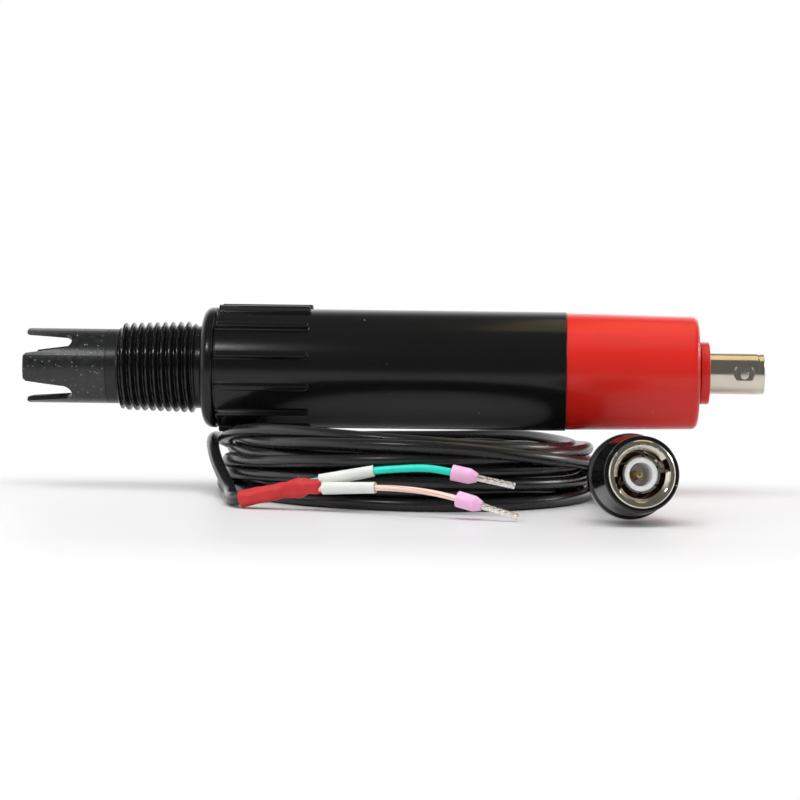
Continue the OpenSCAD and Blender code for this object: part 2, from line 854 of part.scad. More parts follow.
module wave_washer() {
  steps = 48;
  r_in = plug_shank_r + 0.15;
  r_out = plug_flange_r - 0.1;
  swing = (wave_h - wave_t) / 2;
  mid = wave_z + spring_gap + wave_h / 2;
  points = [
    for (i = [0:steps - 1])
      let(a = 360 * i / steps, z = mid + swing * sin(wave_count * a))
      each [
        [r_in * cos(a), r_in * sin(a), z - wave_t / 2],
        [r_out * cos(a), r_out * sin(a), z - wave_t / 2],
        [r_out * cos(a), r_out * sin(a), z + wave_t / 2],
        [r_in * cos(a), r_in * sin(a), z + wave_t / 2]
      ]
  ];
  faces = [
    for (i = [0:steps - 1]) for (k = [0:3])
      let(a = 4 * i + k, b = 4 * i + (k + 1) % 4, c = 4 * ((i + 1) % steps))
      each [[a, b, c + (k + 1) % 4], [a, c + (k + 1) % 4, c + k]]
  ];
  color([0.5, 0.5, 0.52])
    on_plug()
      polyhedron(points = points, faces = faces, convexity = 8);
}

module thrust_washer() {
  color([0.6, 0.6, 0.62])
    on_plug()
      ring(plug_flange_r, plug_shank_r + fit, washer_z, wave_z);
}

module snap_ring() {
  color([0.45, 0.45, 0.47])
    on_plug()
      difference() {
        ring(snap_r - fit, plug_shank_r + 0.7, snap_z, snap_z + snap_t);
        translate([0, -0.6, snap_z - cut])
          cube([2 * snap_r, 1.2, snap_t + 2 * cut]);
      }
}

// A pocket cut outwards from the nut's bore, between two heights and over an angle
module pocket(depth, z0, z1, from, to) {
  rotate([0, 0, from])
    rotate_extrude(angle = to - from, $fn = 96)
      translate([nut_bore_d / 2 - cut, z0])
        square([cut + depth, z1 - z0]);
}

// One bayonet slot: in from the front, round with the turn, and forward into its lock
module bayonet_track() {
  depth = lug_reach_r + 0.2 - nut_bore_d / 2;
  entry = asin(bayonet_w / nut_bore_d);
  end_z = bayonet_z - bayonet_w / 2;
  pocket(depth, end_z, cut, -entry, entry);
  pocket(depth - 0.1, end_z - 0.6, end_z - 0.6 + bayonet_w, -entry / 2, bayonet_turn);
  pocket(depth - 0.2, end_z - 0.3, end_z - 0.2 + bayonet_w, bayonet_turn - 2 * entry, bayonet_turn - 1);
}

module coupling_nut() {
  color([0.7, 0.68, 0.6])
    on_plug()
      difference() {
        rotate_extrude($fn = 96)
          polygon([
            [nut_bore_d / 2 + nut_funnel, 0],
            [nut_d / 2 - 0.25, 0],
            [nut_d / 2, -0.25],
            [nut_d / 2, -cover_l],
            [chamber_d / 2, -cover_l],
            [chamber_d / 2, snap_z - fit],
            [snap_r, snap_z - fit],
            [snap_r, snap_z + snap_t + fit],
            [chamber_d / 2, snap_z + snap_t + fit],
            [chamber_d / 2, -chamber_z],
            [nut_bore_d / 2, -chamber_z],
            [nut_bore_d / 2, -nut_funnel]
          ]);
        for (a = [slot_angle, slot_angle + 180])
          rotate([0, 0, a])
            bayonet_track();
      }
}

module nut_cover() {
  front_r = cover_front_d / 2;
  rear_r = cover_d / 2;
  color([0.05, 0.05, 0.06])
    on_plug()
      rotate_extrude($fn = 96)
        polygon(concat(
          [[nut_d / 2 + fit, -cover_l], [nut_d / 2 + fit, -0.4]],
          edge_arc([front_r - 0.5, -0.9], 0.5, 90, 0),
          [[rear_r - 0.45, -cover_l + 3.1], [rear_r - 0.45, -cover_l + 2.7]],
          edge_arc([rear_r - 0.6, -cover_l + 2], 0.6, 60, 0),
          edge_arc([rear_r - 0.6, -cover_l + 0.6], 0.6, 0, -90)
        ));
}

module crimp_ferrule() {
  color([0.7, 0.68, 0.62])
    on_plug()
      ring(ferrule_r, plug_neck_r + fit, plug_shank_z - fit, plug_neck_z);
}

module cable_boot() {
  waist_r = ferrule_r + 0.9;
  waist_z = plug_neck_z - 0.6;
  slope = (waist_r - boot_end_r) / (waist_z - boot_end_z);
  groove_pitch = 2.4;
  groove_z0 = waist_z - 0.8;
  step_z = plug_shank_z - fit;
  color([0.05, 0.05, 0.06])
    on_plug()
      difference() {
        rotate_extrude($fn = 72)
          polygon([
            [plug_shank_r + fit, boot_z],
            [boot_r, boot_z],
            [waist_r, waist_z],
            [boot_end_r, boot_end_z],
            [cable_d / 2 + fit, boot_end_z],
            [cable_d / 2 + fit, plug_neck_z - fit],
            [ferrule_r + fit, plug_neck_z - fit],
            [ferrule_r + fit, step_z],
            [plug_shank_r + fit, step_z]
          ]);
        for (i = [0:1:boot_grooves - 1])
          let(z = groove_z0 - i * groove_pitch)
            ring(boot_r + cut, waist_r - slope * (waist_z - z) - 0.45, z, z - 0.9);
      }
}

module cable_coil() {
  points = [
    for (i = [0:coil_stations - 1]) for (k = [0:coil_sides - 1])
      coil_point(360 * i / coil_stations, 360 * (k + 0.5) / coil_sides)
  ];
  faces = [
    for (i = [0:coil_stations - 1]) for (k = [0:coil_sides - 1])
      let(
        a = coil_sides * i,
        b = coil_sides * ((i + 1) % coil_stations),
        n = (k + 1) % coil_sides
      )
      each [[a + k, a + n, b + n], [a + k, b + n, b + k]]
  ];
  color([0.07, 0.07, 0.08])
    polyhedron(points = points, faces = faces, convexity = 8);
}

module cable_to_plug() {
  color([0.07, 0.07, 0.08])
    swept(plug_route, cable_d / 2);
}

module cable_to_splice() {
  color([0.07, 0.07, 0.08])
    swept(splice_route, cable_d / 2);
}

module splice_sleeve() {
  start_r = splice_d / 2;
  bump_s = splice_l - 4.2;
  color([0.8, 0.1, 0.1])
    placed(splice_at, splice_turn)
      difference() {
        turned([
          [0, 0],
          [start_r - 0.4, 0],
          [start_r, 0.5],
          [start_r - 0.1, bump_s - 3],
          [start_r + 0.15, bump_s],
          [start_r - 0.05, splice_l - 0.4],
          [start_r - 0.25, splice_l],
          [0, splice_l]
        ], 64);
        rod(cable_d / 2 + fit, -cut, 7 + fit);
        for (s = [-1, 1])
          translate([0, 0, s * wire_offset])
            rod((s > 0 ? green_d : clear_d) / 2 + fit, 9 - fit, splice_l + cut);
      }
}

module marker_sleeve() {
  color([0.93, 0.93, 0.9])
    difference() {
      rod(marker_d / 2, 0, marker_l);
      rod(marker_bore_r, -cut, marker_l + cut);
    }
}

module marker_sleeve_a() {
  placed(marker_a_at, marker_a_turn)
    marker_sleeve();
}

module marker_sleeve_b() {
  placed(marker_b_at, marker_b_turn)
    marker_sleeve();
}

module green_wire() {
  color([0.1, 0.75, 0.6])
    swept(green_route, green_d / 2);
}

module clear_wire() {
  color([0.9, 0.72, 0.62])
    swept(clear_route, clear_d / 2);
}

module ferrule_collar(wire_d) {
  rear_r = collar_rear_d / 2;
  front_r = ferrule_d / 2 + 0.2;
  color([0.95, 0.6, 0.75])
    turned([
      [wire_d / 2 + fit + 0.3, 0],
      [rear_r, 0],
      [rear_r - 0.15, collar_l - 2.2],
      [rear_r - 0.3, collar_l - 1.8],
      [front_r, collar_l],
      [pin_root_r + fit, collar_l],
      [pin_root_r + fit, collar_wire_l],
      [wire_d / 2 + fit, collar_wire_l],
      [wire_d / 2 + fit, 0.6]
    ], 48);
}

module ferrule_pin() {
  end_s = collar_l + ferrule_l;
  color([0.82, 0.82, 0.8])
    turned([
      [0, collar_wire_l + fit],
      [pin_root_r, collar_wire_l + fit],
      [pin_root_r, collar_l + fit],
      [ferrule_d / 2, collar_l + fit],
      [ferrule_d / 2, end_s - 0.2],
      [ferrule_d / 2 - 0.2, end_s],
      [0, end_s]
    ], 48);
}

module ferrule_collar_a() {
  placed(ferrule_a_at, ferrule_a_turn)
    ferrule_collar(green_d);
}

module ferrule_collar_b() {
  placed(ferrule_b_at, ferrule_b_turn)
    ferrule_collar(clear_d);
}

module ferrule_pin_a() {
  placed(ferrule_a_at, ferrule_a_turn)
    ferrule_pin();
}

module ferrule_pin_b() {
  placed(ferrule_b_at, ferrule_b_turn)
    ferrule_pin();
}

guard();
housing();
end_cap();
junction_ring();
electrode_stem();
platinum_tip();
signal_wire();
gel_fill();
reference_wire();
shield_wire();
rear_seal();
seal_ring_front();
seal_ring_rear();
potting();
jack_shell();
jack_insulator();
jack_contact();
solder_tag();
jack_nut();
plug_body();
plug_insulator();
plug_pin();
plug_gasket();
wave_washer();
thrust_washer();
snap_ring();
coupling_nut();
nut_cover();
crimp_ferrule();
cable_boot();
cable_coil();
cable_to_plug();
cable_to_splice();
splice_sleeve();
marker_sleeve_a();
marker_sleeve_b();
green_wire();
clear_wire();
ferrule_collar_a();
ferrule_collar_b();
ferrule_pin_a();
ferrule_pin_b();
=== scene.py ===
"""Redox sensor lying on its own coiled lead: the looks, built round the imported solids.

Lengths are in millimetres until a mesh is made. The origin is on the sensor's axis, where the pipe
thread meets the shoulder, +X runs to the jack and +Z is up.
"""

import json
import math

import bmesh
import bpy
import numpy as np
from mathutils import Matrix

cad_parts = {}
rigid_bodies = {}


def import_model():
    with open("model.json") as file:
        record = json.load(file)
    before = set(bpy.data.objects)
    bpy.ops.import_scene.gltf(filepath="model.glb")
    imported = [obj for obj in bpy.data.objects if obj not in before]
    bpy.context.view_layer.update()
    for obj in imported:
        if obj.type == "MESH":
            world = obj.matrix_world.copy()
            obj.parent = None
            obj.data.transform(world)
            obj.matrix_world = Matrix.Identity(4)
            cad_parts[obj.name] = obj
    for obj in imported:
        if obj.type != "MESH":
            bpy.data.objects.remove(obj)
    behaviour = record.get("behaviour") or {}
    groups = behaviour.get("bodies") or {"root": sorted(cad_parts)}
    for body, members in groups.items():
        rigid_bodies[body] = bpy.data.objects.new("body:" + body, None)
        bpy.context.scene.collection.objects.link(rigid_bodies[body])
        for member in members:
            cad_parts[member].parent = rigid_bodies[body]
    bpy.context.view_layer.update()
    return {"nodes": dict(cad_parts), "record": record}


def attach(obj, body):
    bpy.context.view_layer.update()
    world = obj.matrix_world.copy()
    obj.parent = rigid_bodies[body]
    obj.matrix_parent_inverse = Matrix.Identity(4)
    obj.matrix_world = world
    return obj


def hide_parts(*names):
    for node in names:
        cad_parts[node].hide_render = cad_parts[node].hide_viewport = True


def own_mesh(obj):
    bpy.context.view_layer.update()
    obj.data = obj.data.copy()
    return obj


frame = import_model()

MM = 0.001
TURN = 2 * math.pi

# ---- Sizes: those of whole solids as in the part's source, finer ones only for the looks ----
FLOOR_Z = -27.7
GUARD_R, GUARD_IN_R, NECK_X, NECK_WALL_X = 8.6, 7.4, -22.1, -17.25
THREAD_PITCH, THREAD_R, THREAD_DEPTH, THREAD_TAPER = 1.814, 10.65, 1.1, 1 / 32
THREAD_L, THREAD_START, THREAD_END_R = 19.6, 9.27, 9.55
SHOULDER_R, SHOULDER_L, GROOVE_R, RIB_X = 13.9, 3.0, 13.15, 3.6
BARREL_R, BARREL_L, RIB_L, RIB_W, RIB_R, RIBS = 13.75, 83.5, 21.1, 1.4, 15.05, 12
BORE_R, BORE_X, STEM_BORE_R, STEM_BORE_X = 10.75, 9.25, 5.5, 4
SPIGOT_R, SPIGOT_END, SPIGOT_GAP = 12.25, 91.5, 0.05
CAP_R, CAP_END, CAP_END_R, CAP_WALL, CAVITY_R = 13.5, 114.0, 13.0, 110.0, 11.35
CAP_NECK_R, CAP_HOLE_R, CAP_COLLAR_X, CAP_COLLAR_END, CAP_COLLAR_R = 6.0, 4.85, 114.5, 116.6, 7.2
JACK_R, JACK_BORE_R, JACK_FACE, JACK_BORE_X, LIP_L, LIP_STEP = 4.8, 4.1, 129.3, 118.3, 1.4, 0.07
FLANGE_R, FLANGE_L, FLANGE_X, SHANK_R, SHANK_BORE_R, SHANK_X = 7.5, 2, 107.95, 4.0, 3.25, 101.35
LUG_BACK, LUG_R, LUG_FROM, LUG_L, FLAT_R = 4.8, 1.0, 4.25, 1.3, 4.45
CABLE_D, GREEN_D, CLEAR_D = 2.8, 1.6, 1.3
SPLICE_L, MARKER_L, MARKER_WALL, WIRE_OFFSET = 16.2, 12.0, 0.26, 0.85
COLLAR_L, COLLAR_WIRE_L, COLLAR_MOUTH_R, COLLAR_GAP = 5.6, 3.3, 1.7, 0.12
FERRULE_L, FERRULE_R, NOTCH_PITCH, NOTCH_DEPTH = 8.2, 0.725, 1.4, 0.17

PLUG_AT, PLUG_YAW, PLUG_TILT = (98.4, -73, -16.85), 10.4, 7.6
COVER_BORE_R, COVER_FRONT_Z, COVER_REAR_Z, COVER_RIM_R, COVER_REAR_R = 7.05, -0.4, -13.3, 7.9, 9.0
FLANGE_REAR_Z, WAVE_MID_Z, WAVE_HIGH, NUT_TRAVEL = -10.35, -10.81, 0.9, 0.5
WAVE_IN_R, WAVE_OUT_R, WAVE_THICK, WAVES = 4.05, 5.5, 0.25, 3
SPLICE_AT, SPLICE_TURN = (14.1, -46.3, -25.6), (-9.9, 11.6)
MARKER_A_AT, MARKER_A_TURN = (30.6, -48.5, -21.4), (-8, 11.6)
MARKER_B_AT, MARKER_B_TURN = (31.4, -50.4, -22.8), (-17.9, 2.9)
FERRULE_A_AT, FERRULE_A_TURN = (58.9, -53.2, -18.8), (-8.3, -10.7)
FERRULE_B_AT, FERRULE_B_TURN = (60.4, -62, -23.5), (-18.6, -13.3)

# ---- Camera, at the photograph's angle ----
CAMERA_AT = (75, -600, 32.3)
CAMERA_PITCH, CAMERA_ROLL, CAMERA_LENS, CAMERA_SHIFT = -3.72, 0.7, 116.7, -0.161


def in_scene(name, data):
    """A new object in the scene that shows a mesh, a light or a camera."""
    thing = bpy.data.objects.new(name, data)
    bpy.context.scene.collection.objects.link(thing)
    return thing


camera_data = bpy.data.cameras.new("camera")
camera_data.lens = CAMERA_LENS
camera_data.sensor_width = 36
camera_data.shift_x = CAMERA_SHIFT
camera_data.clip_start = 0.01
camera = in_scene("camera", camera_data)
camera.matrix_world = (
    Matrix.Translation([c * MM for c in CAMERA_AT])
    @ Matrix.Rotation(math.radians(90 + CAMERA_PITCH), 4, "X")
    @ Matrix.Rotation(math.radians(CAMERA_ROLL), 4, "Z")
)
bpy.context.scene.camera = camera


# ---- Places ----
def turn_about(axis, degrees):
    """A 4 by 4 rotation about X, Y or Z."""
    return np.array(Matrix.Rotation(math.radians(degrees), 4, axis))


def shift(at):
    """A 4 by 4 shift to a point."""
    return np.array(Matrix.Translation(at))


# Each place carries a piece that stands along its own Z to where it lies.
ON_SENSOR = turn_about("Y", 90)
ON_PLUG = shift(PLUG_AT) @ turn_about("Z", PLUG_YAW) @ turn_about("X", 90 - PLUG_TILT)


def on_lead(at, turn):
    """The place of a piece that starts at a point and runs at [yaw, pitch] in degrees."""
    return shift(at) @ turn_about("Z", turn[0]) @ turn_about("Y", 90 - turn[1])


def moved(points, place):
    """The points carried by a 4 by 4 place."""
    return points @ place[:3, :3].T + place[:3, 3]


def spot(place, along, up=0.0):
    """The point at a distance along a place's own Z, and up from it."""
    return moved(np.array([-up, 0.0, along]), place)


# ---- Surfaces ----
def ease(value, low, high):
    """0 below low, 1 above high, and 3 s^2 - 2 s^3 of the share s between them."""
    s = np.clip((value - low) / (high - low), 0, 1)
    return s * s * (3 - 2 * s)


def rounded(corners, steps=5):
    """A profile through (radius, height, rounding) corners.

    A corner with a rounding is the parabola (1-s)^2 a + 2 s (1-s) c + s^2 b, whose ends a and b lie
    that far along its two sides, or at most a set share of the side away.
    """
    most = 0.45
    c = np.array([k[:2] for k in corners], float)
    cut = np.array([k[2] if len(k) > 2 else 0 for k in corners], float)
    line = []
    for i, corner in enumerate(c):
        before, after = c[i - 1] - corner, c[(i + 1) % len(c)] - corner
        if cut[i] == 0:
            line.append(corner[None])
            continue
        a = corner + before * min(cut[i] / np.linalg.norm(before), most)
        b = corner + after * min(cut[i] / np.linalg.norm(after), most)
        s = np.linspace(0, 1, steps + 1)[:, None]
        line.append((1 - s) ** 2 * a + 2 * s * (1 - s) * corner + s**2 * b)
    return np.concatenate(line)


def grid_faces(rows, columns, loop_rows=False):
    """Quads between the neighbours of a grid that is stored row by row, where each row is a ring."""
    r, c = np.meshgrid(np.arange(rows if loop_rows else rows - 1), np.arange(columns), indexing="ij")
    r_next, c_next = (r + 1) % rows, (c + 1) % columns
    quads = [r * columns + c, r_next * columns + c, r_next * columns + c_next, r * columns + c_next]
    return np.stack(quads, axis=-1).reshape(-1, 4)


def shade_smooth(mesh, sharp):
    """Smooth shading, apart from edges that turn by more than an angle in degrees."""
    mesh.polygons.foreach_set("use_smooth", np.ones(len(mesh.polygons), bool))
    mesh.set_sharp_from_angle(angle=math.radians(sharp))


def piece(name, parts, body="sensor_and_lead", sharp=38):
    """One object from closed parts, each (points in mm, quads, rings to cap, uv).

    A part whose signed volume, a sixth of the sum of a . (b x c) over its triangles, is negative is
    turned the right way out.
    """
    points, faces, uvs, base = [], [], [], 0
    for part_points, quads, caps, uv in parts:
        p = np.asarray(part_points, float).reshape(-1, 3)
        polygons = [list(f) for f in quads.tolist()] + [list(map(int, ring)) for ring in caps]
        tri = [np.concatenate([quads[:, [0, 1, 2]], quads[:, [0, 2, 3]]])]
        for ring in caps:
            ring = np.asarray(ring)
            fan = np.stack([np.full(len(ring) - 2, ring[0]), ring[1:-1], ring[2:]], axis=-1)
            tri.append(fan)
        tri = np.concatenate(tri)
        q = p - p.mean(axis=0)
        volume = np.einsum("ij,ij->i", q[tri[:, 0]], np.cross(q[tri[:, 1]], q[tri[:, 2]])).sum()
        if volume < 0:
            polygons = [f[::-1] for f in polygons]
        faces += [[v + base for v in f] for f in polygons]
        points.append(p)
        uvs.append(np.zeros((len(p), 2)) if uv is None else np.asarray(uv, float).reshape(-1, 2))
        base += len(p)
    mesh = bpy.data.meshes.new(name)
    mesh.from_pydata((np.concatenate(points) * MM).tolist(), [], faces)
    layer = mesh.uv_layers.new(name="UVMap")
    corner = np.empty(len(mesh.loops), int)
    mesh.loops.foreach_get("vertex_index", corner)
    layer.data.foreach_set("uv", np.concatenate(uvs)[corner].astype(np.float32).ravel())
    work = bmesh.new()
    work.from_mesh(mesh)
    bmesh.ops.remove_doubles(work, verts=work.verts, dist=1e-7)
    work.to_mesh(mesh)
    work.free()
    shade_smooth(mesh, sharp)
    thing = in_scene(name, mesh)
    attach(thing, body)
    return thing


def turned(profile, place, columns=128, wobble=None, lift=None):
    """A closed profile of (radius, height) points turned round a place's Z.

    wobble(angle, height, radius) gives what is added to the radius, and lift(angle) to the height.
    """
    angle = np.arange(columns) * TURN / columns
    radius = np.repeat(profile[:, :1], columns, axis=1)
    height = np.repeat(profile[:, 1:2], columns, axis=1)
    if wobble is not None:
        radius = radius + wobble(angle[None, :], height, radius)
    if lift is not None:
        height = height + lift(angle)
    points = np.stack([radius * np.cos(angle), radius * np.sin(angle), height], axis=-1)
    uv = np.stack(np.broadcast_arrays(angle[None, :] / TURN, height * MM), axis=-1)
    return moved(points.reshape(-1, 3), place), grid_faces(len(profile), columns, True), [], uv


def tube(path, radius, sides=16, squash=None):
    """Rings round a path, each square to it, with flat ends.

    radius is one number, or one for each point of the path or of the grid. A ring's first side is the
    direction across the path and level, and its UV is (share round, length along in metres).
    """
    ahead = np.gradient(path, axis=0)
    ahead /= np.linalg.norm(ahead, axis=1, keepdims=True)
    side = np.cross(ahead, [0.0, 0.0, 1.0])
    side /= np.linalg.norm(side, axis=1, keepdims=True)
    up = np.cross(side, ahead)
    angle = np.arange(sides) * TURN / sides
    r = np.broadcast_to(np.asarray(radius, float).reshape(-1, 1) if np.ndim(radius) < 2 else radius,
                        (len(path), sides))
    wide, tall = (1.0, 1.0) if squash is None else squash
    points = (
        path[:, None]
        + (r * np.cos(angle) * wide)[..., None] * side[:, None]
        + (r * np.sin(angle) * tall)[..., None] * up[:, None]
    )
    length = np.concatenate([[0], np.cumsum(np.linalg.norm(np.diff(path, axis=0), axis=1))])
    uv = np.stack(np.broadcast_arrays(angle[None, :] / TURN, length[:, None] * MM), axis=-1)
    n = len(path)
    caps = [np.arange(sides), np.arange(sides) + (n - 1) * sides]
    return points.reshape(-1, 3), grid_faces(n, sides), [caps[0][::-1], caps[1]], uv


def smooth_line(knots, step):
    """A natural cubic spline through the knots, over their chord length, cut into equal steps.

    Its second derivatives solve the usual tridiagonal system, with zero at both ends.
    """
    k = np.asarray(knots, float)
    h = np.linalg.norm(np.diff(k, axis=0), axis=1)
    t = np.concatenate([[0], np.cumsum(h)])
    n = len(k)
    m = np.eye(n)
    v = np.zeros((n, 3))
    i = np.arange(1, n - 1)
    m[i, i - 1], m[i, i], m[i, i + 1] = h[:-1] / 6, (h[:-1] + h[1:]) / 3, h[1:] / 6
    v[1:-1] = np.diff(k, axis=0)[1:] / h[1:, None] - np.diff(k, axis=0)[:-1] / h[:-1, None]
    bend = np.linalg.solve(m, v)
    s = np.linspace(0, t[-1], max(4, int(round(t[-1] / step)) + 1))
    j = np.clip(np.searchsorted(t, s, side="right") - 1, 0, n - 2)
    a, b, w = (t[j + 1] - s)[:, None], (s - t[j])[:, None], h[j][:, None]
    return (
        bend[j] * (a**3 / (6 * w) - a * w / 6)
        + bend[j + 1] * (b**3 / (6 * w) - b * w / 6)
        + k[j] * a / w
        + k[j + 1] * b / w
    )


def relax(line, share, times):
    """Draws each inner point of a line towards the middle of its neighbours, in place."""
    for _ in range(times):
        line[1:-1] += share * ((line[:-2] + line[2:]) / 2 - line[1:-1])


# ---- The lead's route ----
COIL_AT, COIL_RIGHT, COIL_BACK = np.array([46.9, -6.0]), np.array([39.0, -8.1]), np.array([1.8, 39.8])
PER_TURN, TURNS, CABLE_R = 144, 12, CABLE_D / 2
JOIN_DEGREES, LEAVE_DEGREES = 60, 150
# Where a strand lies in the bundle, [out from its middle, up from the floor], from the first turn on
BACK = [(4.6, 1.4), (1.5, 1.4), (-1.5, 1.4), (-4.5, 1.4), (3.1, 3.9), (0.1, 3.9), (-3.0, 3.9),
        (5.4, 4.2), (1.6, 6.4), (-1.5, 6.4), (-4.3, 6.2), (4.2, 7.0), (1.2, 8.9)]
LEFT = [(2.6, 1.4), (0.0, 2.8), (-2.6, 1.4), (-2.6, 4.3), (2.6, 4.3), (0.0, 5.7),
        (2.6, 7.2), (-2.6, 7.2), (0.0, 8.6), (-2.6, 10.1), (0.3, 11.4), (2.7, 10.2)]
FRONT_LEFT = [(1.6, 1.4), (-1.2, 1.5), (2.0, 4.2), (-1.2, 4.5), (2.1, 7.1), (-1.2, 7.4),
              (2.0, 9.9), (-1.1, 10.4), (1.9, 12.8), (-1.2, 13.6), (1.4, 15.8), (-1.0, 16.9)]
FRONT = [(1.5, 1.4), (-1.4, 1.5), (1.9, 4.1), (-1.3, 4.4), (2.0, 7.0), (-1.2, 7.2),
         (2.0, 12.4), (-1.1, 10.2), (1.9, 9.7), (-1.2, 13.0), (1.6, 15.1), (-0.9, 15.6)]
RIGHT = [(2.5, 1.4), (0.0, 1.6), (-2.7, 1.4), (-2.5, 4.3), (2.7, 4.4), (0.0, 4.6),
         (1.3, 12.5), (-2.6, 7.4), (2.4, 9.6), (0.0, 7.6), (2.8, 7.0), (-1.5, 11.0)]


def coil_stations():
    """The coil's angles, from where the plug's end joins it to where the spliced end leaves it."""
    first = round(JOIN_DEGREES / 360 * PER_TURN)
    last = round((LEAVE_DEGREES / 360 + TURNS) * PER_TURN)
    return np.arange(first, last + 1)


def coil_plan(angle):
    """The middle of the bundle and its outward direction at each angle of a slightly oval ring."""
    c, s = np.cos(angle)[:, None], np.sin(angle)[:, None]
    along = COIL_BACK * c - COIL_RIGHT * s
    out = np.stack([along[:, 1], -along[:, 0]], axis=-1)
    return COIL_AT + COIL_RIGHT * c + COIL_BACK * s, out / np.linalg.norm(out, axis=-1, keepdims=True)


def sensor_radius(x):
    """The sensor's outer radius at each x, as the cable meets it: a little inside the ribs' tops."""
    between_ribs = 0.2
    r = np.where(x < 0, THREAD_R, np.where(x < RIB_X, SHOULDER_R, BARREL_R))
    return np.where((x > RIB_X) & (x < RIB_X + RIB_L), RIB_R - between_ribs, r)


def coil_places(station, angle):
    """Where each station lies in the bundle before it settles, [out from its middle, up].

    Each turn runs from its place in the bundle's back to its places at the left end, the front and the
    right end, easing between them, and each turn sways by three sines of its own.
    """
    first_place, last_place, sway = (4.7, 1.4), (3.3, 6.2), 0.9
    anchors, at = [first_place], [station[0]]
    for turn in range(TURNS):
        for degrees, places in ((90, BACK), (180, LEFT), (225, FRONT_LEFT), (275, FRONT), (360, RIGHT)):
            anchors.append(places[turn])
            at.append(round((turn + degrees / 360) * PER_TURN))
    anchors += [BACK[TURNS], last_place]
    at += [round((TURNS + 90 / 360) * PER_TURN), station[-1]]
    anchors, at = np.array(anchors), np.array(at)
    j = np.clip(np.searchsorted(at, station, side="right") - 1, 0, len(at) - 2)
    share = ease((station - at[j]) / (at[j + 1] - at[j]), 0, 1)[:, None]
    place = anchors[j] * (1 - share) + anchors[j + 1] * share
    draw = np.random.default_rng(12)
    for waves in (3, 5, 8):
        phase, size = draw.uniform(0, TURN, (2, TURNS + 1)), sway / waves
        turn = np.minimum(station // PER_TURN, TURNS)
        place[:, 0] += size * np.sin(waves * angle * 0.37 + phase[0, turn])
        place[:, 1] += size * np.sin(waves * angle * 0.29 + phase[1, turn])
    return place


def coil_line():
    """The cable's line through its turns, which are let settle in the bundle.

    Any two strands that share a station are pushed apart to one diameter, all are drawn back a little
    to where they started and sink, each is smoothed along its own length, and the floor and the sensor
    push them out.
    """
    steps, drawn_steps, push_share, draw_share, sink, smoothings = 260, 200, 0.6, 0.015, 0.012, 4
    clearance = 0.02
    station = coil_stations()
    angle = station * TURN / PER_TURN
    mid, out = coil_plan(angle)
    place = coil_places(station, angle)
    target = place.copy()
    row, column = station // PER_TURN, station % PER_TURN
    spread = np.full((TURNS + 1, PER_TURN, 2), np.nan)
    for step in range(steps):
        spread[row, column] = place
        gap = spread[:, None] - spread[None, :]
        far = np.sqrt((gap**2).sum(axis=-1))
        close = (far < CABLE_D) & (far > 1e-6)
        push = np.where(close, (CABLE_D - far) / (2 * np.maximum(far, 0.3)), 0)
        move = np.nansum(gap * push[..., None], axis=1)
        place = place + push_share * move[row, column]
        if step < drawn_steps:
            place += draw_share * (target - place)
            place[:, 1] -= sink
        relax(place, 0.5, smoothings)
        place[:, 1] = np.maximum(place[:, 1], CABLE_R)
        flat = mid + out * place[:, :1]
        keep = sensor_radius(flat[:, 0]) + CABLE_R + clearance
        roof = -np.sqrt(np.maximum(keep**2 - flat[:, 1] ** 2, 0)) - FLOOR_Z
        under = np.abs(flat[:, 1]) < keep
        place[:, 1] = np.where(under, np.minimum(place[:, 1], roof), place[:, 1])
    flat = mid + out * place[:, :1]
    return np.column_stack([flat, FLOOR_Z + place[:, 1]])


PLUG_ROUTE = [(91.6, -12.7, -23), (90.6, -4.5, -23.9), (88.7, 3.7, -24.8), (85.4, 11.9, -25.6),
              (80.8, 19.4, -26.1), (75.3, 25.3, -26.2)]
SPLICE_ROUTE = [(4.9, 14.3, -19), (2.6, 6.8, -16.9), (2.1, -1.5, -16.4), (3.1, -9.8, -18),
                (5.1, -17.9, -20.8), (7.6, -25.3, -23.6), (9.6, -32.2, -25.6), (10.3, -38.1, -26.1),
                (11.5, -43, -26)]
BOOT_END_Z, BOOT_MID_Z, CABLE_START_Z = -35.9, -30, -24.05


def cable_line():
    """The whole cable: out of the boot, into the coil, round it, and 7 mm into the red sleeve."""
    step = 1.4
    coil = coil_line()
    boot = [spot(ON_PLUG, z) for z in (CABLE_START_Z, BOOT_MID_Z, BOOT_END_Z - 1)]
    sleeve_in = [spot(SPLICE, along) for along in (-0.6, 2, 4.5, 7)]
    lead_in = smooth_line([*boot, *PLUG_ROUTE, coil[0], coil[3]], step)
    lead_out = smooth_line([coil[-4], coil[-1], *SPLICE_ROUTE, *sleeve_in], step)
    stop = np.linalg.norm(lead_in - coil[0], axis=1).argmin()
    start = np.linalg.norm(lead_out - coil[-1], axis=1).argmin()
    line = np.concatenate([lead_in[:stop], coil, lead_out[start + 1 :]])
    relax(line, 0.4, 6)
    return line


def wire_line(marker, bends, ferrule, up):
    """One wire: out of the red sleeve, through its marker sleeve, over the bends and into its ferrule."""
    step = 0.7
    sleeve_out = [spot(SPLICE, along, up) for along in (9, 12, 14.5)]
    in_marker = [spot(marker, along) for along in (0.6, 4, 8, MARKER_L)]
    in_ferrule = [spot(ferrule, along) for along in (-0.6, COLLAR_WIRE_L - 0.05)]
    return smooth_line([*sleeve_out, *in_marker, *bends, *in_ferrule], step)


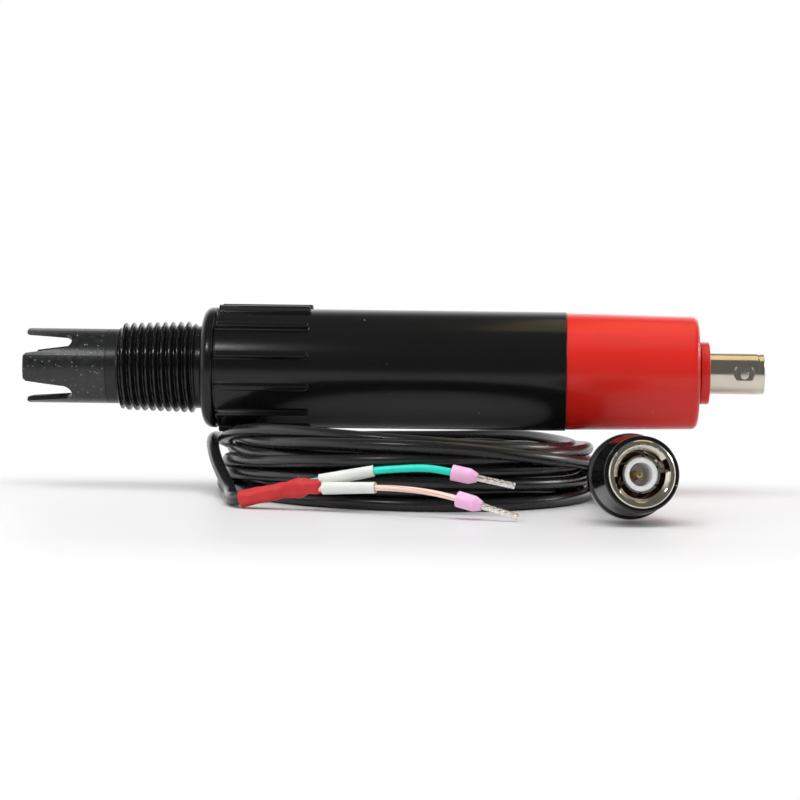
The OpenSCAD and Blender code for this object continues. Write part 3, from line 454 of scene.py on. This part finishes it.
SPLICE = on_lead(SPLICE_AT, SPLICE_TURN)
MARKER_A, MARKER_B = on_lead(MARKER_A_AT, MARKER_A_TURN), on_lead(MARKER_B_AT, MARKER_B_TURN)
FERRULE_A, FERRULE_B = on_lead(FERRULE_A_AT, FERRULE_A_TURN), on_lead(FERRULE_B_AT, FERRULE_B_TURN)
GREEN_BENDS = [(47.7, -51.2, -18.4), (53.3, -52.2, -18.1)]
CLEAR_BENDS = [(48.8, -57, -22.1), (54.6, -59.5, -22.5)]
cable_path = cable_line()
green_path = wire_line(MARKER_A, GREEN_BENDS, FERRULE_A, WIRE_OFFSET)
clear_path = wire_line(MARKER_B, CLEAR_BENDS, FERRULE_B, -WIRE_OFFSET)


# ---- Finishes ----
def new_group(name, inputs, outputs):
    """An empty shader group with its sockets, each (name, kind, default)."""
    group = bpy.data.node_groups.new(name, "ShaderNodeTree")
    for title, kind, default in inputs:
        socket = group.interface.new_socket(title, in_out="INPUT", socket_type=kind)
        socket.default_value = default
    for title, kind in outputs:
        group.interface.new_socket(title, in_out="OUTPUT", socket_type=kind)
    return group, add(group, "NodeGroupInput"), add(group, "NodeGroupOutput")


def add(tree, kind, links=(), **values):
    """A node, with settings or inputs by name, and links given as (input, socket)."""
    made = tree.nodes.new(kind)
    for key, value in values.items():
        title = key.replace("_", " ")
        if title in made.inputs:
            made.inputs[title].default_value = value
        else:
            setattr(made, key, value)
    for target, socket in links:
        tree.links.new(made.inputs[target], socket)
    return made


def feed(tree, target, value):
    """Gives an input a number, a colour or the socket that it reads."""
    if isinstance(value, (int, float)):
        target.default_value = value
    elif isinstance(value, (tuple, list)):
        target.default_value = (*value, 1)
    else:
        tree.links.new(target, value)


def maths(tree, operation, *terms):
    """A Math node on sockets and numbers."""
    made = add(tree, "ShaderNodeMath", operation=operation)
    for target, term in zip(made.inputs, terms):
        feed(tree, target, term)
    return made.outputs[0]


def eased(tree, value, low, high):
    """A node's ease(value, low, high), where low may also be above high."""
    return add(tree, "ShaderNodeMapRange", [("Value", value)], interpolation_type="SMOOTHSTEP",
               From_Min=low, From_Max=high).outputs[0]


def axes(tree, kind):
    """The X, Y and Z of a kind of texture coordinate."""
    at = add(tree, "ShaderNodeTexCoord").outputs[kind]
    return add(tree, "ShaderNodeSeparateXYZ", [("Vector", at)]).outputs


def grain_group():
    """Fine grain and slow patches, both from 0 to 1, from noise on the piece's own coordinates."""
    group, given, out = new_group(
        "grain_and_patches",
        [("Grain Scale", "NodeSocketFloat", 900.0), ("Patch Scale", "NodeSocketFloat", 90.0)],
        [("Grain", "NodeSocketFloat"), ("Patches", "NodeSocketFloat")])
    at = add(group, "ShaderNodeTexCoord").outputs["Object"]
    grain = add(group, "ShaderNodeTexNoise", [("Vector", at), ("Scale", given.outputs[0])], Detail=3.0)
    patch = add(group, "ShaderNodeTexNoise", [("Vector", at), ("Scale", given.outputs[1])], Detail=2.0)
    group.links.new(out.inputs["Grain"], grain.outputs["Fac"])
    group.links.new(out.inputs["Patches"], eased(group, patch.outputs["Fac"], 0.2, 0.8))
    return group


def dust_group():
    """Small dust specks: one in each cell of a grid whose own random number is under the share."""
    group, given, out = new_group(
        "dust_specks",
        [("Scale", "NodeSocketFloat", 700.0), ("Share", "NodeSocketFloat", 0.1),
         ("Size", "NodeSocketFloat", 0.2)],
        [("Mask", "NodeSocketFloat")])
    at = add(group, "ShaderNodeTexCoord").outputs["Object"]
    cells = add(group, "ShaderNodeTexVoronoi", [("Vector", at), ("Scale", given.outputs["Scale"])])
    own = add(group, "ShaderNodeSeparateColor", [("Color", cells.outputs["Color"])])
    picked = maths(group, "LESS_THAN", own.outputs[0], given.outputs["Share"])
    size = maths(group, "MULTIPLY", own.outputs[1], given.outputs["Size"])
    near = maths(group, "LESS_THAN", cells.outputs["Distance"], size)
    group.links.new(out.inputs["Mask"], maths(group, "MULTIPLY", picked, near))
    return group


GRAIN, DUST = grain_group(), dust_group()


def blend_colour(tree, share, first, second):
    """The first colour blended to the second by a share, each a socket or three numbers."""
    mix = add(tree, "ShaderNodeMix", data_type="RGBA")
    for index, value in ((0, share), (6, first), (7, second)):
        feed(tree, mix.inputs[index], value)
    return mix.outputs[2]


def finish(name, colour, rough, grain=(900, 0.01), patches=90, tint=None, dust=None, strands=None,
           dull=None, **shader_values):
    """A material: a colour that drifts in patches to a tint, or else to a darker self, and a roughness
    between two values.

    grain is (scale, depth in mm), dust is (inputs of the dust group, colour), strands that show
    through a jacket are (how many, turns in a metre of length, colour), and dull, for the part that
    lies before an x, is (x in mm, colour, what is added to the roughness).
    """
    darker, dust_rougher = 0.8, 0.3
    made = bpy.data.materials.new(name)
    made.use_nodes = True
    tree = made.node_tree
    shader = tree.nodes["Principled BSDF"]
    for key, value in shader_values.items():
        shader.inputs[key.replace("_", " ")].default_value = value
    noise = add(tree, "ShaderNodeGroup", node_tree=GRAIN, Grain_Scale=grain[0], Patch_Scale=patches)
    paint = blend_colour(tree, noise.outputs["Patches"], colour, tint or [c * darker for c in colour])
    low, high = rough
    roughness = maths(tree, "MULTIPLY_ADD", noise.outputs["Patches"], high - low, low)
    if dull is not None:
        before, dull_colour, rougher = dull
        front = maths(tree, "LESS_THAN", axes(tree, "Object")["X"], before * MM)
        paint = blend_colour(tree, front, paint, dull_colour)
        roughness = maths(tree, "MULTIPLY_ADD", front, rougher, roughness)
    if strands is not None:
        count, winding, strand_colour = strands
        place = axes(tree, "UV")
        turns = maths(tree, "MULTIPLY_ADD", place["X"], count, maths(tree, "MULTIPLY", place["Y"], winding))
        wave = maths(tree, "MAXIMUM", maths(tree, "SINE", maths(tree, "MULTIPLY", turns, TURN)), 0.0)
        paint = blend_colour(tree, maths(tree, "POWER", wave, 2.0), paint, strand_colour)
    if dust is not None:
        values, pale = dust
        marks = add(tree, "ShaderNodeGroup", node_tree=DUST, **values).outputs["Mask"]
        paint = blend_colour(tree, marks, paint, pale)
        roughness = maths(tree, "MULTIPLY_ADD", marks, dust_rougher, roughness)
    bump = add(tree, "ShaderNodeBump", [("Height", noise.outputs["Grain"])], Distance=grain[1] * MM)
    tree.links.new(shader.inputs["Base Color"], paint)
    tree.links.new(shader.inputs["Roughness"], roughness)
    tree.links.new(shader.inputs["Normal"], bump.outputs["Normal"])
    return made


PALE_DUST = (0.55, 0.54, 0.52)
FINISHES = {
    "black_plastic": finish("polished_black_moulding", (0.0055, 0.006, 0.0057), (0.17, 0.22),
                            (1400, 0.003), 60,
                            dust=({"Scale": 1100, "Share": 0.008, "Size": 0.14}, PALE_DUST),
                            dull=(-19.55, (0.011, 0.0115, 0.0115), 0.13), Specular_IOR_Level=0.38),
    "guard_plastic": finish("dull_black_moulding", (0.005, 0.0055, 0.0055), (0.27, 0.34), (1600, 0.01), 900,
                            tint=(0.013, 0.014, 0.014),
                            dust=({"Scale": 1900, "Share": 0.2, "Size": 0.38}, (0.17, 0.17, 0.165)),
                            Specular_IOR_Level=0.62),
    "red_plastic": finish("red_moulding", (0.7, 0.019, 0.011), (0.2, 0.25), (1500, 0.005), 70,
                          tint=(0.66, 0.016, 0.009),
                          dust=({"Scale": 900, "Share": 0.008, "Size": 0.13}, PALE_DUST),
                          Specular_IOR_Level=0.4),
    "nickel": finish("nickel_plate", (0.72, 0.67, 0.58), (0.12, 0.17), (2200, 0.003), 260,
                     tint=(0.67, 0.62, 0.53), Metallic=1.0),
    "gold": finish("gold_plate", (0.85, 0.56, 0.2), (0.18, 0.28), (2600, 0.004), 600, Metallic=1.0),
    "white_insulator": finish("white_turned_plastic", (0.86, 0.86, 0.86), (0.35, 0.45), (1800, 0.004), 300,
                              tint=(0.8, 0.8, 0.82)),
    "black_grip": finish("glossy_black_cover", (0.005, 0.005, 0.005), (0.08, 0.13), (900, 0.003), 90,
                         dust=({"Scale": 1300, "Share": 0.02, "Size": 0.16}, PALE_DUST)),
    "black_cable": finish("black_cable_jacket", (0.011, 0.0113, 0.011), (0.23, 0.3), (1700, 0.006), 140,
                          dust=({"Scale": 1300, "Share": 0.015, "Size": 0.16}, PALE_DUST),
                          Specular_IOR_Level=0.5),
    "red_sleeve": finish("red_shrunk_sleeve", (0.62, 0.024, 0.026), (0.42, 0.52), (1300, 0.03), 260,
                         tint=(0.52, 0.017, 0.02)),
    "white_sleeve": finish("white_sleeve", (0.88, 0.88, 0.82), (0.38, 0.5), (1500, 0.01), 300,
                           tint=(0.82, 0.82, 0.75), Subsurface_Weight=0.15),
    "green_wire": finish("green_wire_jacket", (0.009, 0.76, 0.61), (0.25, 0.35), (1500, 0.01), 200,
                         tint=(0.007, 0.66, 0.53)),
    "clear_wire": finish("clear_jacket_on_copper", (0.93, 0.66, 0.56), (0.18, 0.28), (1500, 0.006), 300,
                         tint=(0.95, 0.72, 0.64), strands=(5, 60, (0.72, 0.4, 0.3)),
                         Coat_Weight=0.6, Coat_Roughness=0.08),
    "pink_plastic": finish("pink_moulding", (0.99, 0.54, 0.8), (0.3, 0.4), (1500, 0.01), 300,
                           tint=(0.96, 0.46, 0.73), Subsurface_Weight=0.1),
    "tinned_copper": finish("tinned_copper", (0.9, 0.88, 0.83), (0.2, 0.34), (2600, 0.015), 900,
                            tint=(0.8, 0.77, 0.71), Metallic=0.88),
    "ceramic": finish("porous_ceramic", (0.8, 0.79, 0.74), (0.8, 0.95), (2600, 0.04), 400),
    "clear_glass": finish("clear_glass", (0.9, 0.96, 0.95), (0.02, 0.04), (300, 0.001), 60,
                          Transmission_Weight=0.9, IOR=1.5),
    "platinum": finish("platinum", (0.68, 0.66, 0.63), (0.12, 0.24), (2400, 0.006), 700, Metallic=1.0),
    "copper": finish("copper", (0.75, 0.38, 0.24), (0.2, 0.35), (2400, 0.006), 700, Metallic=1.0),
    "gel": finish("gel", (0.7, 0.77, 0.8), (0.1, 0.2), (400, 0.01), 80),
    "silver": finish("silver", (0.66, 0.65, 0.63), (0.25, 0.4), (2400, 0.01), 700, Metallic=1.0),
    "grey_plastic": finish("grey_moulding", (0.16, 0.16, 0.17), (0.4, 0.5), (1400, 0.01), 100),
    "seal_rubber": finish("black_rubber", (0.02, 0.02, 0.02), (0.55, 0.65), (1600, 0.01), 200),
    "resin": finish("cast_resin", (0.2, 0.15, 0.08), (0.15, 0.3), (500, 0.01), 80),
    "gasket_rubber": finish("red_gasket", (0.28, 0.05, 0.03), (0.5, 0.6), (1600, 0.01), 300),
    "spring_steel": finish("spring_steel", (0.45, 0.45, 0.46), (0.25, 0.38), (2400, 0.01), 600, Metallic=1.0),
}
SLOT_OF = {part["node"]: part["material_slot"] for part in frame["record"]["subparts"]}


def dressed(thing, slot, *nodes):
    """Gives a piece a finish, and hides the solids that it stands for."""
    thing.data.materials.clear()
    thing.data.materials.append(FINISHES[slot])
    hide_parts(*nodes)
    return thing


for node_name, node_object in frame["nodes"].items():
    node_object.data.materials.clear()
    node_object.data.materials.append(FINISHES[SLOT_OF[node_name]])


def softened(node_name, width, body="sensor_and_lead"):
    """A copy of a solid with its doubles merged, its flat triangles joined and its edges rounded."""
    limit, flat = 32, math.radians(0.6)
    mesh = frame["nodes"][node_name].data.copy()
    work = bmesh.new()
    work.from_mesh(mesh)
    bmesh.ops.remove_doubles(work, verts=work.verts, dist=1e-6)
    bmesh.ops.dissolve_limit(work, angle_limit=flat, verts=work.verts, edges=work.edges)
    work.to_mesh(mesh)
    work.free()
    shade_smooth(mesh, limit)
    thing = in_scene(node_name + "_finished", mesh)
    rim = thing.modifiers.new("rounded_edges", "BEVEL")
    rim.width, rim.segments, rim.limit_method = width * MM, 2, "ANGLE"
    rim.angle_limit, rim.harden_normals = math.radians(limit), True
    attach(thing, body)
    return dressed(thing, SLOT_OF[node_name], node_name)


# ---- The lead ----
def cord(name, path, diameter, slot, sides, *nodes):
    """A round cord along a path."""
    return dressed(piece(name, [tube(path, diameter / 2, sides)]), slot, *nodes)


cable = cord("signal_cable", cable_path, CABLE_D, "black_cable", 18,
             "cable_coil", "cable_to_plug", "cable_to_splice")
green = cord("green_core", green_path, GREEN_D, "green_wire", 20, "green_wire")
clear = cord("clear_core", clear_path, CLEAR_D, "clear_wire", 20, "clear_wire")


def splice_sleeve():
    """The red sleeve: a tube that arches a little and dips at its tip. Its radius swells by
    exp(-((s - joints) / spread)^2) over the solder joints, ripples and closes at both ends, and it is
    pressed narrower ahead of the joints.
    """
    start_r, joints, spread, swell = 1.84, 12.4, 1.5, 0.42
    close_start, close_tip, narrower, taller, sides = 0.42, 0.3, 0.32, 0.02, 40
    s = np.linspace(-0.8, SPLICE_L + 1.3, 100)
    lift = 0.15 * np.sin(s / SPLICE_L * math.pi) - 0.3 * ease(s, 14, 17.5)
    path = np.array([spot(SPLICE, v, up) for v, up in zip(s, lift)])
    angle = (np.arange(sides) * TURN / sides)[None]
    radius = start_r - 0.1 * ease(s, 1, 9) + swell * np.exp(-(((s - joints) / spread) ** 2))
    radius = radius - 0.12 * ease(s, 13.5, 15)
    radius = radius - close_start * (1 - ease(s, -1.5, -0.1))
    radius = radius - close_tip * ease(s, SPLICE_L + 0.6, SPLICE_L + 1.5)
    ripple = 0.05 * np.sin(3 * angle + 1.1 * s[:, None])
    ripple = ripple + 0.035 * np.sin(5 * angle - 2.3 * s[:, None] + 1) * ease(s, 2, 6)[:, None]
    press = (ease(s, 6, 10) * (1 - ease(s, 12.5, 15.5)))[:, None]
    squash = 1 - narrower * press, 1 + taller * press
    return piece("red_sleeve", [tube(path, radius[:, None] + ripple, sides, squash)])


def marker_sleeve(name, place, start_r, end_r):
    """A white sleeve: a thin tube, open at both ends, a little wider and oval where it starts."""
    rows = rounded([(start_r - MARKER_WALL, 0, 0.08), (start_r, 0, 0.1), (end_r, MARKER_L, 0.1),
                    (end_r - MARKER_WALL, MARKER_L, 0.08)])

    def oval(angle, height, radius):
        return 0.08 * np.cos(2 * angle) * (1 - height / MARKER_L) + 0.015 * np.sin(3 * angle + height)

    return piece(name, [turned(rows, place, 64, oval)])


def collar(name, place, wire_r):
    """A ferrule's collar: a flared mouth, a straight wall and a cone down to the pin."""
    bore_r, pin_r, tip_r = wire_r + COLLAR_GAP, 0.78, 0.98
    rows = rounded([
        (bore_r, 0.5, 0.2), (wire_r + 0.4, 0.0, 0.1), (COLLAR_MOUTH_R, 0.0, 0.15), (1.67, 3.9, 0.15),
        (tip_r, COLLAR_L, 0.12), (pin_r, COLLAR_L, 0.05), (pin_r, COLLAR_WIRE_L), (bore_r, COLLAR_WIRE_L)])
    return piece(name, [turned(rows, place, 72)])


def crimped_pin(name, place, roll):
    """A ferrule's pin: a round tube pressed to a soft square, 1 - 0.13 cos^2(2a) of its radius, with a
    row of notches down each side that are deepest on the four flats, and a tip that closes a little.
    """
    sides, square_r, flatter, closes = 48, 0.72, 0.13, 0.25
    s = np.linspace(COLLAR_WIRE_L + 0.05, COLLAR_L + FERRULE_L, 150)
    end = s[-1]
    flats = np.cos(2 * (np.arange(sides) * TURN / sides + math.radians(roll))) ** 2
    pressed = (ease(s, COLLAR_L + 0.9, COLLAR_L + 1.5) * (1 - ease(s, end - 0.7, end - 0.2)))[:, None]
    square = square_r * (1 - flatter * flats)[None]
    notch = NOTCH_DEPTH * np.maximum(np.sin(s * TURN / NOTCH_PITCH), 0)[:, None] ** 2
    notch = notch * (0.4 + 0.6 * flats)[None]
    radius = FERRULE_R * (1 - pressed) + (square - notch) * pressed
    radius = radius * (1 - closes * ease(s, end - 0.25, end + 0.05)[:, None])
    path = np.array([spot(place, v) for v in s])
    return piece(name, [tube(path, radius, sides)], sharp=50)


sleeve = dressed(splice_sleeve(), "red_sleeve", "splice_sleeve")
marker_a = dressed(marker_sleeve("marker_on_green", MARKER_A, 1.36, 1.22), "white_sleeve", "marker_sleeve_a")
marker_b = dressed(marker_sleeve("marker_on_clear", MARKER_B, 1.26, 1.2), "white_sleeve", "marker_sleeve_b")
collar_a = dressed(collar("pink_collar_green", FERRULE_A, GREEN_D / 2), "pink_plastic", "ferrule_collar_a")
collar_b = dressed(collar("pink_collar_clear", FERRULE_B, CLEAR_D / 2), "pink_plastic", "ferrule_collar_b")
pin_a = dressed(crimped_pin("crimped_pin_green", FERRULE_A, 20), "tinned_copper", "ferrule_pin_a")
pin_b = dressed(crimped_pin("crimped_pin_clear", FERRULE_B, 0), "tinned_copper", "ferrule_pin_b")

# ---- The plug ----
cover_rows = rounded([
    (COVER_BORE_R, COVER_REAR_Z, 0.15), (COVER_BORE_R, COVER_FRONT_Z, 0.1),
    (COVER_RIM_R, COVER_FRONT_Z, 0.45), (8.55, -10.2, 0.3), (8.55, -10.6, 0.15),
    (COVER_REAR_R, -11.0, 0.3), (COVER_REAR_R, COVER_REAR_Z, 0.55)])
cover = piece("plug_cover", [turned(cover_rows, ON_PLUG, 160)], "bayonet_nut")
dressed(cover, "black_grip", "nut_cover")


def wave_spring():
    """The spring washer behind the plug's flange: a flat ring bent into three waves."""
    half = WAVE_THICK / 2
    section = rounded([(WAVE_IN_R, -half, 0.04), (WAVE_OUT_R, -half, 0.04), (WAVE_OUT_R, half, 0.04),
                       (WAVE_IN_R, half, 0.04)], 3)

    def waves(angle):
        return WAVE_MID_Z + (WAVE_HIGH - WAVE_THICK) / 2 * np.sin(WAVES * angle)

    return piece("wave_spring", [turned(section, ON_PLUG, 96, lift=waves)])


spring = dressed(wave_spring(), "spring_steel", "wave_washer")
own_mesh(spring)
softened("coupling_nut", 0.12, "bayonet_nut")
for node_name, edge_width in (
        ("plug_body", 0.06), ("cable_boot", 0.2), ("crimp_ferrule", 0.15), ("plug_insulator", 0.08)):
    softened(node_name, edge_width)


# ---- The sensor ----
def thread_tooth(angle, x):
    """What the thread adds to its root: a 60 degree tooth t with a narrow flat crest, made softer as
    0.7 t + 0.3 (3 t^2 - 2 t^3), on a right-handed helix of one pitch a turn that fades in and out at
    its two ends.
    """
    flank, crest = THREAD_DEPTH * math.tan(math.radians(30)), 0.18
    starts, stops = (-19.5, -18.9), (-3.0, -1.3)
    off = np.abs((x + THREAD_START - THREAD_PITCH * angle / TURN) % THREAD_PITCH - THREAD_PITCH / 2)
    tooth = np.clip((crest + flank - off) / flank, 0, 1)
    tooth = 0.7 * tooth + 0.3 * tooth * tooth * (3 - 2 * tooth)
    inside = ease(x, *starts) * (1 - ease(x, *stops))
    return THREAD_DEPTH * tooth * inside


def housing_shell():
    """The housing without its ribs: one closed profile turned round the sensor's axis, inside and out,
    with the helix added along the thread.
    """
    guard_bore_r, edge, first_x, last_x = GUARD_IN_R + 0.05, 2.0, -19.5, -0.55
    thread_x = np.arange(first_x, last_x, 0.1)
    root = THREAD_R + thread_x * THREAD_TAPER - THREAD_DEPTH
    arc = np.radians(np.linspace(-90, 0, 9))
    shoulder = [(SHOULDER_R - edge + edge * math.cos(a), edge + edge * math.sin(a)) for a in arc]
    rows = rounded([
        (guard_bore_r, NECK_X), (GUARD_R, NECK_X, 0.2), (GUARD_R, -THREAD_L, 0.15), *zip(root, thread_x),
        (THREAD_END_R, 0, 0.3), *shoulder, (SHOULDER_R, SHOULDER_L, 0.3), (GROOVE_R, SHOULDER_L, 0.15),
        (GROOVE_R, RIB_X, 0.15), (BARREL_R, RIB_X, 0.2), (BARREL_R, BARREL_L, 0.2), (SPIGOT_R, BARREL_L),
        (SPIGOT_R, SPIGOT_END, 0.3), (BORE_R, SPIGOT_END, 0.3), (BORE_R, BORE_X),
        (STEM_BORE_R, STEM_BORE_X), (STEM_BORE_R, NECK_WALL_X), (guard_bore_r, NECK_WALL_X)])

    def helix(angle, x, radius):
        on_thread = (x > first_x - 0.05) & (x < last_x + 0.05) & (radius > GUARD_R + 0.2)
        return np.where(on_thread, thread_tooth(angle, x), 0)

    return turned(rows, ON_SENSOR, 208, helix)


def rib(degrees):
    """A grip rib: its outline, square at the groove and half round at its other end, is carried up
    from inside the barrel, flared at its foot and rounded over at its top.

    The outline's rows are (along, across, and the outward direction's two parts).
    """
    half, small = RIB_W / 2, 0.25
    tip = np.radians(np.linspace(-90, 90, 17))
    far = np.stack([RIB_X + RIB_L - half + half * np.cos(tip), half * np.sin(tip),
                    np.cos(tip), np.sin(tip)], axis=-1)
    corner = np.radians(np.linspace(90, 180, 5))
    top = np.stack([RIB_X + small + small * np.cos(corner), half - small + small * np.sin(corner),
                    np.cos(corner), np.sin(corner)], axis=-1)
    low = top[::-1] * [1, -1, 1, -1]
    line = np.concatenate([far, top, low])
    over = np.radians(np.linspace(0, 90, 6))
    foot, foot_height = [0.3, 0.26, 0.08, 0.0, -0.03], [-0.8, -0.02, 0.12, 0.35, 0.8]
    draft, top_r = 0.05, 0.3
    grow = np.concatenate([foot, -draft - top_r * (1 - np.cos(over))])
    height = np.concatenate([BARREL_R + np.array(foot_height), RIB_R - top_r + top_r * np.sin(over)])
    x = line[:, 0] + grow[:, None] * line[:, 2]
    across = line[:, 1] + grow[:, None] * line[:, 3]
    up = np.repeat(height[:, None], len(line), axis=1)
    c, s = math.cos(math.radians(degrees)), math.sin(math.radians(degrees))
    points = np.stack([x, across * c - up * s, across * s + up * c], axis=-1)
    n = len(line)
    caps = [np.arange(n)[::-1], np.arange(n) + (len(height) - 1) * n]
    return points.reshape(-1, 3), grid_faces(len(height), n), caps, None


def jack():
    """The bayonet jack's shell: a turned tube, pressed flat round each of its two lugs.

    Inside a press mark the wall lies at FLAT_R / cos(a), where a is the angle from the mark's middle.
    The mark is a disc on the wall whose edge eases out between two radii.
    """
    lug_at = JACK_FACE - LUG_BACK
    mark_reach, mark_edge, mark_turn, mark_slim, outer_wall = 2.8, (2.15, 2.4), 94, 0.9, 4.5
    mark_x = np.arange(lug_at - mark_reach, lug_at + mark_reach + 0.05, 0.1)
    rows = rounded([
        (SHANK_R, SHANK_X, 0.2), (SHANK_R, FLANGE_X), (FLANGE_R, FLANGE_X, 0.2),
        (FLANGE_R, FLANGE_X + FLANGE_L, 0.2), (JACK_R, FLANGE_X + FLANGE_L), *((JACK_R, x) for x in mark_x),
        (JACK_R, JACK_FACE - LIP_L - 0.1), (JACK_R - LIP_STEP, JACK_FACE - LIP_L),
        (JACK_R - LIP_STEP, JACK_FACE, 0.35), (JACK_BORE_R + 0.05, JACK_FACE, 0.2),
        (JACK_BORE_R, JACK_BORE_X), (SHANK_BORE_R, JACK_BORE_X), (SHANK_BORE_R, SHANK_X)])

    def pressed(angle, x, radius):
        a = math.pi / 2 - np.abs((angle + math.radians(mark_turn)) % math.pi - math.pi / 2)
        flat = FLAT_R / np.maximum(np.cos(a), 0.5)
        away = np.hypot(x - lug_at, mark_slim * JACK_R * a)
        inside = (1 - ease(away, *mark_edge)) * (radius > outer_wall)
        return np.minimum(flat - radius, 0) * inside

    parts = [turned(rows, ON_SENSOR, 192, pressed)]
    lug = rounded([(0.01, 0), (LUG_R, 0), (LUG_R, LUG_L, 0.16), (0.01, LUG_L)])
    for side in (-1, 1):
        place = shift((lug_at, side * LUG_FROM, 0)) @ turn_about("X", -90 * side)
        parts.append(turned(lug, place, 48))
    return piece("jack_tube", parts)


ribs = [rib((k + 0.5) * 360 / RIBS) for k in range(RIBS)]
dressed(piece("housing_shell", [housing_shell(), *ribs]), "black_plastic", "housing")
cap_rows = rounded([
    (SPIGOT_R + SPIGOT_GAP, BARREL_L), (CAP_R, BARREL_L, 0.25), (CAP_END_R, CAP_END, 1.7),
    (CAP_NECK_R, CAP_END, 0.3), (CAP_NECK_R, CAP_COLLAR_X, 0.2), (CAP_COLLAR_R, CAP_COLLAR_X, 0.2),
    (CAP_COLLAR_R, CAP_COLLAR_END, 0.45), (CAP_HOLE_R, CAP_COLLAR_END, 0.15),
    (CAP_HOLE_R, CAP_WALL), (CAVITY_R, CAP_WALL), (CAVITY_R, SPIGOT_END + SPIGOT_GAP),
    (SPIGOT_R + SPIGOT_GAP, SPIGOT_END + SPIGOT_GAP)], 8)
dressed(piece("red_cap", [turned(cap_rows, ON_SENSOR, 176)]), "red_plastic", "end_cap")
dressed(jack(), "nickel", "jack_shell")
for node_name, edge_width in (("guard", 0.28), ("jack_insulator", 0.1), ("jack_contact", 0.06)):
    softened(node_name, edge_width)

# ---- The plug's pieces, gathered in a list ----
nodes = frame["nodes"]
plug_pieces = [nodes[n] for n in ("plug_pin", "plug_gasket", "thrust_washer", "snap_ring")]
plug_pieces += [bpy.data.objects[n + "_finished"] for n in (
    "coupling_nut", "plug_body", "cable_boot", "crimp_ferrule", "plug_insulator")]


# ---- Floor and light ----
def floor():
    """A pale floor that a camera sees fade to white behind the object and in front of it.

    Each fade is given by the y where it starts and the y where it is full. The fade behind starts under the
    object, so its white is painted light that covers the object's own shadow on the floor there.
    """
    # The fade behind starts at y = -15, under the sensor: its white, seen only by the camera, is painted
    # light over the sensor's cast shadow on the floor.
    half, behind, before = 1500, (-15, 35), (-95, -150)
    corners = (-half, -half), (half, -half), (half, half), (-half, half)
    points = np.array([(x, y, FLOOR_Z) for x, y in corners])
    mesh = bpy.data.meshes.new("floor")
    mesh.from_pydata((points * MM).tolist(), [], [(0, 1, 2, 3)])
    thing = in_scene("floor", mesh)
    made = bpy.data.materials.new("pale_floor")
    made.use_nodes = True
    tree = made.node_tree
    shader = tree.nodes["Principled BSDF"]
    shader.inputs["Base Color"].default_value = (0.755, 0.755, 0.765, 1)
    shader.inputs["Roughness"].default_value = 0.45
    y = axes(tree, "Object")["Y"]
    fades = [eased(tree, y, start * MM, full * MM) for start, full in (behind, before)]
    by_camera = add(tree, "ShaderNodeLightPath").outputs["Is Camera Ray"]
    seen = maths(tree, "MULTIPLY", maths(tree, "MAXIMUM", *fades), by_camera)
    white = add(tree, "ShaderNodeEmission", Strength=1.0)
    both = add(tree, "ShaderNodeMixShader", [(0, seen), (1, shader.outputs[0]), (2, white.outputs[0])])
    tree.links.new(tree.nodes["Material Output"].inputs["Surface"], both.outputs[0])
    mesh.materials.append(made)


def lamp(name, at, size, watts, aim=(45, 0, -5), lights=True, mirrored=True, colour=(1, 1, 1)):
    """A rectangular soft lamp that faces a point, that lights matt things or not, and that gloss
    mirrors or not.
    """
    data = bpy.data.lights.new(name, "AREA")
    data.shape, data.size, data.size_y, data.energy = "RECTANGLE", size[0] * MM, size[1] * MM, watts
    data.color = colour
    thing = in_scene(name, data)
    thing.visible_diffuse, thing.visible_glossy = lights, mirrored
    away = np.array(at, float) - np.array(aim, float)
    thing.location = [v * MM for v in at]
    thing.rotation_euler = (
        math.atan2(math.hypot(away[0], away[1]), away[2]), 0, math.atan2(away[0], -away[1]))


def sky():
    """A surround that is white to the camera and to clear things, and softer as light.

    In gloss it is dim overhead and towards the camera, and bright low down behind and beside the
    object. It eases from one to the other as x^2 + y^2 of a ray's direction grows, with y taken as 0
    where the ray runs forward.
    """
    light, dim, brighter, eases = 0.54, -0.4, 1.2, (0.35, 0.95)
    world = bpy.data.worlds.new("surround")
    bpy.context.scene.world = world
    world.use_nodes = True
    tree = world.node_tree
    path = add(tree, "ShaderNodeLightPath")
    seen = maths(tree, "MAXIMUM", path.outputs["Is Camera Ray"], path.outputs["Is Transmission Ray"])
    way = axes(tree, "Generated")
    back = maths(tree, "MAXIMUM", way["Y"], 0.0)
    low = maths(tree, "MULTIPLY_ADD", back, back, maths(tree, "MULTIPLY", way["X"], way["X"]))
    backdrop = maths(tree, "MULTIPLY_ADD", eased(tree, low, *eases), brighter, dim)
    soft = maths(tree, "MULTIPLY_ADD", path.outputs["Is Glossy Ray"], backdrop, light)
    level = maths(tree, "MAXIMUM", seen, soft)
    tree.links.new(tree.nodes["Background"].inputs["Strength"], level)
    tree.nodes["Background"].inputs["Color"].default_value = (1, 1, 1, 1)


floor()
lamp("top_softbox", (20, -90, 420), (520, 300), 1.72, mirrored=False)
lamp("front_fill", (-220, -420, 220), (240, 240), 0.5, mirrored=False)
lamp("ceiling_glow", (215, 107, 420), (250, 305), 0.24, aim=(214, 97, 0), lights=False, colour=(1, 0.8, 0.42))
lamp("high_window", (-124, -284, 271), (84, 42), 0.25, aim=(-40, 0, 0), lights=False)
lamp("side_window", (519, 76, 178), (160, 110), 0.6, aim=(112, 0, 0), lights=False)
sky()
bpy.context.scene.view_settings.view_transform = "Standard"
